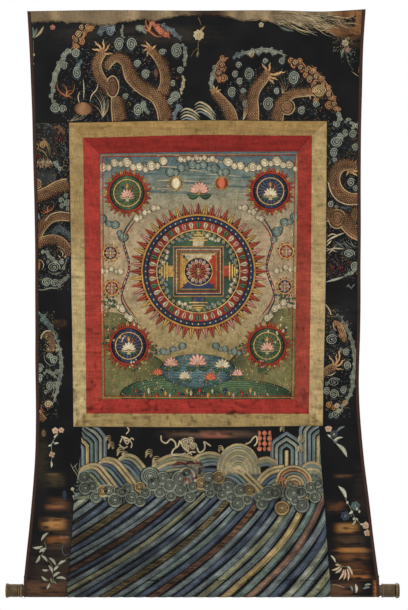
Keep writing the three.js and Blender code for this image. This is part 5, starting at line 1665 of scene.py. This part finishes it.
def paint_scenery(work):
    """Sky, hills, lake, clouds and flowers about the mandala."""
    for k in range(26):
        z = -362 - 3.9 * k
        start = RNG.uniform(-240, 100)
        streak = [(start, z), (start + 60, z + RNG.normal(0, 3)), (start + RNG.uniform(90, 190), z - 4)]
        paint = (SKY, SHELL, WATER)[k % 3]
        work.stroke(streak, RNG.uniform(3, 8), paint.mid, SKY.mid, rise=0.04, shape="leaf")
    for x, z, rx, rz, paint in (
        (-215, -800, 60, 46, HILL), (232, -790, 58, 46, HILL), (-190, -905, 120, 60, HILL),
        (205, -900, 130, 70, HILL), (-70, -960, 120, 42, LEAF), (110, -964, 130, 40, LEAF),
    ):
        work.floor += 0.05
        disc(work, (x, z), rx, rz, paint.mid, paint.dark, 0.0, 0.04)
        for k in (0.92, 0.8, 0.68, 0.54, 0.4):
            turn = np.linspace(0.15 * np.pi, 0.85 * np.pi, 14)
            arc = ellipse((x, z), rx * k, rz * k, turn)
            work.stroke(arc, 2.4, paint.light, paint.mid, rise=0.05, base=0.04, shape="leaf", columns=3)
    work.floor += 0.06
    disc(work, (4, -900), 96, 42, WATER.mid, WATER.dark, 0.0, 0.04)
    for row in range(11):
        z = -866 - 6.4 * row
        half = 90 * math.sqrt(max(0.05, 1 - ((z + 900) / 40) ** 2))
        xs = np.linspace(4 - half, 4 + half, 14)
        work.stroke(np.stack([xs, z + 1.8 * np.sin(xs / 5 + row)], axis=1), 1.8, WATER.light, rise=0.05,
                    base=0.05, shape="leaf", columns=3)
    work.floor += 0.06
    for x, z, size, paint in ((-62, -888, 24, ROSE), (66, -892, 24, SHELL), (-28, -920, 20, SHELL),
                              (36, -922, 20, VERMILION), (4, -886, 30, ROSE), (-96, -910, 18, VERMILION),
                              (104, -912, 18, ROSE)):
        lotus(work, (x, z), size, paint, 0.1)
    heap = (VERMILION, LAPIS, ORPIMENT, SHELL, LEAF)
    for k in range(30):
        x = -150 + 10.6 * k
        jewel(work, (x, -952 - 6 * (k % 3)), 5.6 + 1.6 * (k % 2), heap[k % 5], 0.12)
    for x, z, height, lean, paint in ((-206, -886, 84, 12, ROSE), (214, -880, 86, -12, SHELL),
                                      (-150, -930, 60, -8, SHELL), (164, -934, 62, 8, ROSE),
                                      (-222, -768, 52, 6, SHELL), (234, -760, 54, -6, ROSE),
                                      (-112, -880, 40, 6, VERMILION), (122, -876, 40, -6, VERMILION)):
        flowering_tree(work, (x, z), height, lean, paint)
    for path, size, paint in (
        ([(-236, -392), (-190, -378), (-130, -392), (-84, -376)], 21, SHELL),
        ([(78, -378), (130, -392), (190, -376), (246, -390)], 21, SHELL),
        ([(-66, -404), (0, -384), (72, -404)], 19, SKY), ([(-40, -372), (4, -366), (50, -372)], 13, SHELL),
        ([(-238, -520), (-205, -535), (-184, -566)], 20, SKY),
        ([(246, -515), (215, -532), (192, -566)], 20, SKY),
        ([(-236, -650), (-214, -645), (-190, -652)], 14, SHELL),
        ([(246, -646), (222, -642), (200, -650)], 14, SHELL),
        ([(-238, -742), (-205, -732), (-172, -762), (-142, -806)], 18, SHELL),
        ([(246, -736), (212, -730), (182, -760), (152, -806)], 18, SHELL),
        ([(-132, -846), (-84, -852), (-36, -838)], 15, SKY), ([(48, -838), (96, -852), (142, -846)], 15, SKY),
        ([(-150, -520), (-122, -500), (-96, -488)], 15, SHELL),
        ([(162, -520), (136, -500), (108, -488)], 15, SHELL),
    ):
        cloud_bank(work, path, size, paint)
    for x, paint in ((-50, SHELL), (64, VERMILION)):
        wheel(work, (x, -432), 15, 21, 16, 4.6, (ORPIMENT,), 0.15, "claw")
        disc(work, (x, -432), 16, 16, ORPIMENT.mid, ORPIMENT.dark, 0.2, 0.06)
        disc(work, (x, -432), 13.4, 13.4, paint.light, paint.mid, 0.25, 0.06)
    lotus(work, (8, -456), 30, ROSE, 0.3, 9)
    for x, z, paint in ((-214, -606, LAPIS), (-210, -694, VERMILION), (226, -602, VERMILION),
                        (222, -690, LAPIS)):
        wheel(work, (x, z), 15, 25, 18, 6, (VERMILION, ORPIMENT), 0.2, "claw")
        disc(work, (x, z), 18, 18, paint.mid, paint.dark, 0.26, 0.05)
        ring(work, (x, z), 18, 2.2, ORPIMENT.light, ORPIMENT.dark, 0.3)
        wheel(work, (x, z), 2.6, 14.5, 8, 7, (SHELL, ROSE), 0.32)
        disc(work, (x, z), 3.4, 3.4, ORPIMENT.light, ORPIMENT.dark, 0.46, 0.05)
    for side in (-1, 1):
        for drop, paint in ((0, LAPIS), (9, SHELL), (15, VERMILION)):
            scarf = [(5 + side * 150, -500 - drop), (5 + side * 186, -560 - drop), (5 + side * 172, -640),
                     (5 + side * 190, -724 + drop), (5 + side * 150, -790 + drop)]
            work.stroke(scarf, 5.5, paint.mid, paint.dark, rise=0.08, base=0.12, shape="leaf")
    for x, z, glow, heart in ((-172, -456, LEAF, ROSE), (186, -452, LAPIS, SHELL),
                              (-168, -838, LAPIS, SHELL), (178, -838, LEAF, ROSE)):
        halo_medallion(work, (x, z), 54, glow, heart, 0.1 * x)
    for _ in range(420):
        spot = np.array([RNG.uniform(-236, 250), RNG.uniform(-966, -860)])
        paint = (HILL, LEAF, ORPIMENT, ROSE)[RNG.integers(4)]
        work.stroke([spot, spot + (RNG.normal(0, 2), RNG.uniform(3, 8))], RNG.uniform(1.4, 2.6), paint.light,
                    paint.mid, rise=0.06, base=0.1, shape="leaf", columns=3, step=2)
    for _ in range(150):
        spot = np.array([RNG.uniform(-230, 244), RNG.uniform(-860, -420)])
        disc(work, spot, RNG.uniform(1.4, 2.6), RNG.uniform(1.4, 2.6), SHELL.light, ORPIMENT.mid, 0.06, 0.06)
    left, right, top, foot = CANVAS.tl[0] + 4, CANVAS.tr[0] - 4, CANVAS.tl[1] - 4, CANVAS.bl[1] + 4
    for inset, colour in ((0, ORPIMENT.mid), (3.5, VERMILION.mid)):
        corners = ((left + inset, top - inset), (right - inset, top - inset + 4),
                   (CANVAS.br[0] - 4 - inset, foot + inset), (CANVAS.bl[0] + 4 + inset, foot + inset))
        for a, b in zip(corners, corners[1:] + corners[:1]):
            work.stroke([a, b], 1.8, colour, rise=0.05, base=0.2, shape="ring", columns=3, step=6)


def canvas_ground(x, z):
    """Sky, haze and earth laid thinly on the sized cotton."""
    heights = np.array([-975, -900, -820, -700, -560, -470, -400, -355], float)
    washes = np.array([(122, 106, 68), (134, 118, 76), (148, 130, 92), (160, 140, 110), (158, 138, 110),
                       (136, 130, 108), (100, 114, 110), (74, 92, 98)], float)
    wash = np.stack([np.interp(z, heights, washes[:, k]) for k in range(3)], axis=1)
    tone = linear(wash) * 1.24
    broad = 0.8 + 0.4 * value_noise(x, z, 30, 11)
    fine = 0.9 + 0.2 * value_noise(x, z, 7, 12)
    return tone * broad[:, None] * fine[:, None]


def paint_picture():
    """The canvas's paint, as one mesh of low relief."""
    work = Relief(0.03)
    paint_scenery(work)
    paint_mandala(work)
    obj = work.finish("painting_pigment", PANELS["painting"], old_paint("pigment"), "canvas", 0.35)
    SHEET_WORK["painting"] = [obj]


def stage():
    """Camera, soft studio light, a plain pale floor and a white surround."""
    scene = bpy.context.scene
    scene.view_settings.view_transform = "Standard"
    camera = bpy.data.cameras.new("camera")
    camera.sensor_width = SENSOR
    camera.lens = SENSOR * CAMERA_DISTANCE / FIELD
    eye = bpy.data.objects.new("camera", camera)
    eye.location = (FIELD_CENTRE[0], -CAMERA_DISTANCE, FIELD_CENTRE[1])
    eye.rotation_euler = (math.pi / 2, 0, 0)
    scene.collection.objects.link(eye)
    scene.camera = eye
    world = bpy.data.worlds.new("surround")
    scene.world = world
    world.use_nodes = True
    world.node_tree.nodes["Background"].inputs["Color"].default_value = (1, 1, 1, 1)
    world.node_tree.nodes["Background"].inputs["Strength"].default_value = 1.0
    for name, place, size, power in (
        ("key", (-1.9, -2.6, 1.1), 1.2, 26),
        ("rear", (1.4, 2.8, 0.9), 1.5, 12),
    ):
        light = bpy.data.lights.new(name, "AREA")
        light.size = size
        light.energy = power
        lamp = bpy.data.objects.new(name, light)
        lamp.location = place
        lamp.rotation_euler = (Vector(AIM) - Vector(place)).to_track_quat("-Z", "Y").to_euler()
        scene.collection.objects.link(lamp)
    floor = bpy.data.meshes.new("floor")
    corners = [(FLOOR_REACH * a, FLOOR_REACH * b, FLOOR_Z) for a, b in ((-1, -1), (1, -1), (1, 1), (-1, 1))]
    floor.from_pydata(corners, [], [(0, 1, 2, 3)])
    floor.materials.append(floor_paint())
    ground = bpy.data.objects.new("floor", floor)
    scene.collection.objects.link(ground)


class Nodes:
    """A material's node tree, with short ways to add and join its nodes."""

    def __init__(self, name):
        self.material = bpy.data.materials.new(name)
        self.material.use_nodes = True
        self.tree = self.material.node_tree
        self.shader = self.tree.nodes["Principled BSDF"]

    def add(self, kind, inputs=None, **settings):
        """A node with its settings, its inputs fed."""
        node = self.tree.nodes.new(f"ShaderNode{kind}")
        for key, value in settings.items():
            setattr(node, key, value)
        for key, value in (inputs or {}).items():
            self.feed(node.inputs[key], value)
        return node

    def feed(self, socket, value):
        """Links a socket, or sets it to a colour or a number."""
        if isinstance(value, bpy.types.NodeSocket):
            self.tree.links.new(value, socket)
        elif isinstance(value, (tuple, list, np.ndarray)) and socket.type == "RGBA":
            socket.default_value = (*value[:3], 1)
        else:
            socket.default_value = value

    def maths(self, operation, a, b=0.0):
        """One sum, product or the like."""
        return self.add("Math", {0: a, 1: b}, operation=operation).outputs[0]

    def tint(self):
        """The colour that the mesh carries at its points."""
        return self.add("VertexColor", layer_name="tint").outputs["Color"]

    def threads(self, fine, coarse, lengthwise=1.0, crosswise=1.0):
        """Uneven threads running both ways."""
        one = self.noise(1.0, self.place((fine, fine, coarse)), 2)
        other = self.noise(1.0, self.place((coarse, coarse, fine)), 2)
        return self.maths("ADD", self.maths("MULTIPLY", one, lengthwise),
                          self.maths("MULTIPLY", other, crosswise))

    def weave(self, scale, distortion=0.0):
        """A fine plain weave's relief."""
        waves = [self.add("TexWave", {"Scale": scale, "Distortion": distortion, "Detail": 1.0,
                                      "Vector": self.place()},
                          bands_direction=way).outputs["Fac"] for way in "XZ"]
        return self.maths("MULTIPLY", *waves)

    def mix(self, share, a, b, blend="MIX"):
        """A colour between two, or one multiplied by the other."""
        node = self.add("Mix", data_type="RGBA", blend_type=blend)
        self.feed(node.inputs[0], share)
        self.feed(node.inputs[6], a)
        self.feed(node.inputs[7], b)
        return node.outputs[2]

    def place(self, scale=(1, 1, 1), source="Object", angle=0.0):
        """Coordinates in metres, scaled and turned."""
        where = self.add("TexCoord").outputs[source]
        return self.add("Mapping", {"Vector": where, "Scale": scale, "Rotation": (0, 0, angle)}).outputs[0]

    def noise(self, scale, where=None, detail=3.0, rough=0.55):
        """Soft noise about one half."""
        where = self.place() if where is None else where
        inputs = {"Scale": scale, "Detail": detail, "Roughness": rough, "Vector": where}
        return self.add("TexNoise", inputs).outputs["Fac"]

    def ramp(self, share, low, high):
        """A share from 0 at low to 1 at high."""
        return self.add("MapRange", {"Value": share, "From Min": low, "From Max": high}).outputs[0]

    def bump(self, height, distance, strength=1.0):
        """Raises the surface by a height."""
        node = self.add("Bump", {"Height": height, "Distance": distance, "Strength": strength})
        self.feed(self.shader.inputs["Normal"], node.outputs[0])

    def finish(self, colour, roughness=0.8, **sockets):
        """Feeds the shader and hands the material over."""
        self.feed(self.shader.inputs["Base Color"], colour)
        self.feed(self.shader.inputs["Roughness"], roughness)
        for key, value in sockets.items():
            self.feed(self.shader.inputs[key.replace("_", " ")], value)
        return self.material


def floor_paint():
    """A plain pale floor."""
    n = Nodes("floor_paint")
    shade = n.ramp(n.noise(6.0), 0.3, 0.7)
    return n.finish(n.mix(shade, (0.66, 0.66, 0.65), (0.7, 0.7, 0.69)), 0.9)


def edge_silk():
    """The bindings' plain-woven silk: two shades in uneven threads, and a fine weave."""
    n = Nodes("edge_silk")
    threads = n.threads(1300, 45, 0.4, 0.6)
    patches = n.noise(14.0, detail=4)
    share = n.ramp(n.maths("ADD", threads, n.maths("MULTIPLY", patches, 0.6)), 0.55, 1.3)
    n.bump(n.maths("ADD", n.weave(260.0, 1.5), threads), 0.0005, 0.6)
    return n.finish(n.mix(share, linear((58, 40, 34)), linear((86, 60, 50))), 0.72, Specular_IOR_Level=0.1)


def dark_satin():
    """Blue-black satin, rubbed to brown where its colour attribute says so."""
    n = Nodes("dark_satin")
    tint = n.tint()
    ribs = n.noise(1.0, n.place((1600, 1600, 30)), 2)
    cloudy = n.noise(9.0, detail=5)
    shade = n.ramp(n.maths("ADD", n.maths("MULTIPLY", ribs, 0.6), cloudy), 0.5, 1.1)
    lit = n.mix(shade, (0.62, 0.62, 0.64), (1.4, 1.36, 1.3))
    colour = n.mix(1.0, tint, lit, "MULTIPLY")
    n.bump(n.maths("ADD", ribs, n.noise(420.0, detail=2)), 0.0004, 0.5)
    return n.finish(colour, n.ramp(cloudy, -0.3, 1.6), Specular_IOR_Level=0.06)


def silk_thread():
    """Satin stitch and couched thread: stitches lie across each stroke, dulled by age."""
    n = Nodes("silk_thread")
    tint = n.tint()
    twist = n.place((520, 900, 1), "UV", 0.5)
    stitches = n.add("TexWave", {"Scale": 0.55, "Distortion": 2.2, "Detail": 2.0,
                                 "Vector": twist}).outputs["Fac"]
    age = n.noise(60.0, detail=4, rough=0.65)
    worn = n.noise(1.0, n.place((260, 520, 1), "UV"), 3, 0.7)
    wear = n.maths("ADD", n.maths("MULTIPLY", worn, 0.9), n.maths("MULTIPLY", age, 0.7))
    shade = n.ramp(n.maths("ADD", n.maths("MULTIPLY", stitches, 0.4), wear), 0.55, 1.45)
    colour = n.mix(1.0, tint, n.mix(shade, (0.22, 0.21, 0.2), (1.6, 1.58, 1.52)), "MULTIPLY")
    n.bump(stitches, 0.0005, 0.5)
    return n.finish(colour, 0.55, Specular_IOR_Level=0.1)


def tinted_weave(name):
    """Plain weave in the colours of its attribute."""
    n = Nodes(name)
    tint = n.tint()
    threads = n.threads(900, 50)
    shade = n.mix(n.ramp(threads, 0.7, 1.3), (0.6, 0.58, 0.55), (1.3, 1.28, 1.25))
    n.bump(threads, 0.0006, 0.6)
    return n.finish(n.mix(1.0, tint, shade, "MULTIPLY"), 0.75, Specular_IOR_Level=0.1)


def old_paint(name):
    """Matt ground pigments over cotton: mottled, finely crackled, the weave just showing."""
    n = Nodes(name)
    tint = n.tint()
    mottle = n.maths("ADD", n.noise(70.0, detail=4, rough=0.65),
                     n.maths("MULTIPLY", n.noise(420.0, detail=2), 0.7))
    shade = n.mix(n.ramp(mottle, 0.55, 1.15), (0.58, 0.55, 0.5), (1.45, 1.44, 1.4))
    crackle = n.add("TexVoronoi", {"Vector": n.place(), "Scale": 120.0},
                    feature="DISTANCE_TO_EDGE").outputs[0]
    line = n.ramp(crackle, 0.0, 0.05)
    colour = n.mix(1.0, tint, shade, "MULTIPLY")
    colour = n.mix(line, n.mix(0.45, colour, (0.05, 0.04, 0.03)), colour)
    n.bump(n.maths("ADD", n.weave(420.0), line), 0.0003, 0.4)
    return n.finish(colour, 0.85, Specular_IOR_Level=0.1)


def plain_back(name, shade):
    """The unseen reverse: plain cotton-like cloth with a soft weave."""
    n = Nodes(name)
    threads = n.threads(900, 60)
    worn, fresh = (linear([c * light for c in shade]) for light in (0.82, 1.1))
    colour = n.mix(n.ramp(threads, 0.7, 1.3), worn, fresh)
    n.bump(threads, 0.0005, 0.5)
    return n.finish(colour, 0.9)


def brass():
    """Old brass: its tint painted lighter on top and darker underneath as painted light, dark in its grooves
    and where it has tarnished.
    """
    n = Nodes("old_brass")
    tint = n.tint()
    tarnish = n.ramp(n.noise(70.0, detail=5, rough=0.6), 0.3, 0.66)
    fine = n.noise(1.0, n.place((900, 120, 120)), 2)
    colour = n.mix(1.0, tint, n.mix(tarnish, (0.55, 0.5, 0.45), (1.25, 1.22, 1.15)), "MULTIPLY")
    n.bump(fine, 0.0002, 0.5)
    return n.finish(colour, 0.42, Metallic=0.45, Specular_IOR_Level=0.35)


# The caps' turned profiles: along the roller from its end, and radius
CAP_BORE = 14.4
Turned = namedtuple("Turned", "x rows")
CAPS = {
    "left_cap": Turned(-433, ((0, 15.6), (1.5, 16.8), (4.5, 16.8), (6.5, 15.4), (9, 16.6), (12, 15.6),
                              (14, 16.2), (32, 15.9), (36, 17.2), (38, 18), (40.5, 18), (42, 16.6))),
    "right_cap": Turned(464, ((0, 16.6), (1, 17.4), (3.5, 17.4),
                              *((5 + 3 * i + d, r) for i in range(9) for d, r in ((0, 16.3), (1.5, 17.0))),
                              (32, 16), (34, 16), (35.5, 19), (39.5, 19), (41, 17.8), (43.5, 17.4),
                              (44, 16.4))),
}


def turned_cap(name, material):
    """A brass cap turned round the roller's axis, dark in its grooves, closed on the dowel's bore."""
    cap = CAPS[name]
    outward = -1 if cap.x < 0 else 1
    along, radius = np.array(cap.rows, float).T
    at = np.unique(np.concatenate([along, np.arange(0, along[-1], 0.75)]))
    out = np.interp(at, along, radius)
    groove = out - np.array([out[np.abs(at - a) < 3].mean() for a in at])
    share = np.clip(0.4 + 1.1 * groove, 0, 1)[:, None]
    tone = linear((34, 26, 18)) * (1 - share) + linear((150, 126, 90)) * share
    ring = [(at[0], CAP_BORE, tone[0] * 0.4), *zip(at, out, tone), (at[-1], CAP_BORE, tone[-1] * 0.6)]
    turns = 72
    angle = np.arange(turns) * 2 * np.pi / turns
    points, tints = [], []
    for a, r, shade in ring:
        points.append(np.stack([np.full(turns, cap.x + outward * a), HEM_Y / 2 + r * np.cos(angle),
                                ROLLER_Z + r * np.sin(angle)], axis=1))
        # Painted light: the tint is lighter on the cap's top and darker underneath, as if lit from above.
        tints.append(shade * (0.8 + 0.4 * np.sin(angle) ** 3)[:, None])
    index = np.arange(len(ring) * turns).reshape(len(ring), turns)
    index = np.vstack([index, index[:1]])
    after = np.roll(index, -1, axis=1)
    quads = np.stack([index[:-1], after[:-1], after[1:], index[1:]], axis=-1).reshape(-1, 4)[:, ::-outward]
    obj = new_mesh(name + "_turned", np.concatenate(points) * MM, quads.tolist(), material,
                   np.concatenate(tints), rounded=False)
    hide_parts(name)


def wood():
    """Oiled softwood, its grain along the roller."""
    n = Nodes("dowel_wood")
    grain = n.noise(1.0, n.place((14, 320, 320)), 5)
    n.bump(grain, 0.0004, 0.6)
    return n.finish(n.mix(n.ramp(grain, 0.35, 0.7), linear((66, 46, 30)), linear((122, 92, 62))), 0.6)


def dress_cloth():
    """Every cloth node as a fine sheet of its own silk."""
    satin = dark_satin()
    back = plain_back("panel_reverse", (92, 76, 60))
    gold_back = plain_back("gold_reverse", (140, 118, 82))
    red_back = plain_back("red_reverse", (120, 52, 44))
    gold = tinted_weave("gold_weave")
    red = tinted_weave("red_weave")
    edge = edge_silk()
    canvas_back = plain_back("canvas_reverse", (150, 130, 100))
    sheets = {}
    for name in ("top_panel", "left_panel", "right_panel"):
        sewn = "lrb" if name == "top_panel" else "ltrb"
        sheets[name] = cloth_sheet(name, satin, back, silk_ground, sewn=sewn)
    for name in ("lower_left_panel", "lower_middle_panel", "lower_right_panel"):
        cell = CELL if "middle" in name else LOWER_SIDE_CELL
        sheets[name] = cloth_sheet(name, satin, back, silk_ground, cell, "ltr")
    for name, sewn in (("left_binding", "r"), ("right_binding", "l")):
        sheets[name] = cloth_sheet(name, edge, edge, sewn=sewn, cell=BINDING_CELL)
    for side in ("top", "bottom", "left", "right"):
        for ink, material, reverse in (("gold", gold, gold_back), ("red", red, red_back)):
            name = f"{ink}_{side}"
            sheets[name] = cloth_sheet(name, material, reverse, strip_ground(name), STRIP_CELL)
    sheets["painting"] = cloth_sheet("painting", old_paint("painted_ground"), canvas_back,
                                     canvas_ground, CANVAS_CELL)
    return sheets


def declare(sheets):
    """Works out each sheet's flat size and area, and keeps nothing of them."""
    for name, obj in sheets.items():
        width, height, area = panel_size(PANELS[name])


stage()
sheets = dress_cloth()
embroider()
paint_picture()
declare(sheets)
cap_metal = brass()
for name in CAPS:
    turned_cap(name, cap_metal)
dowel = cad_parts["dowel"]
dowel.data.materials.clear()
dowel.data.materials.append(wood())
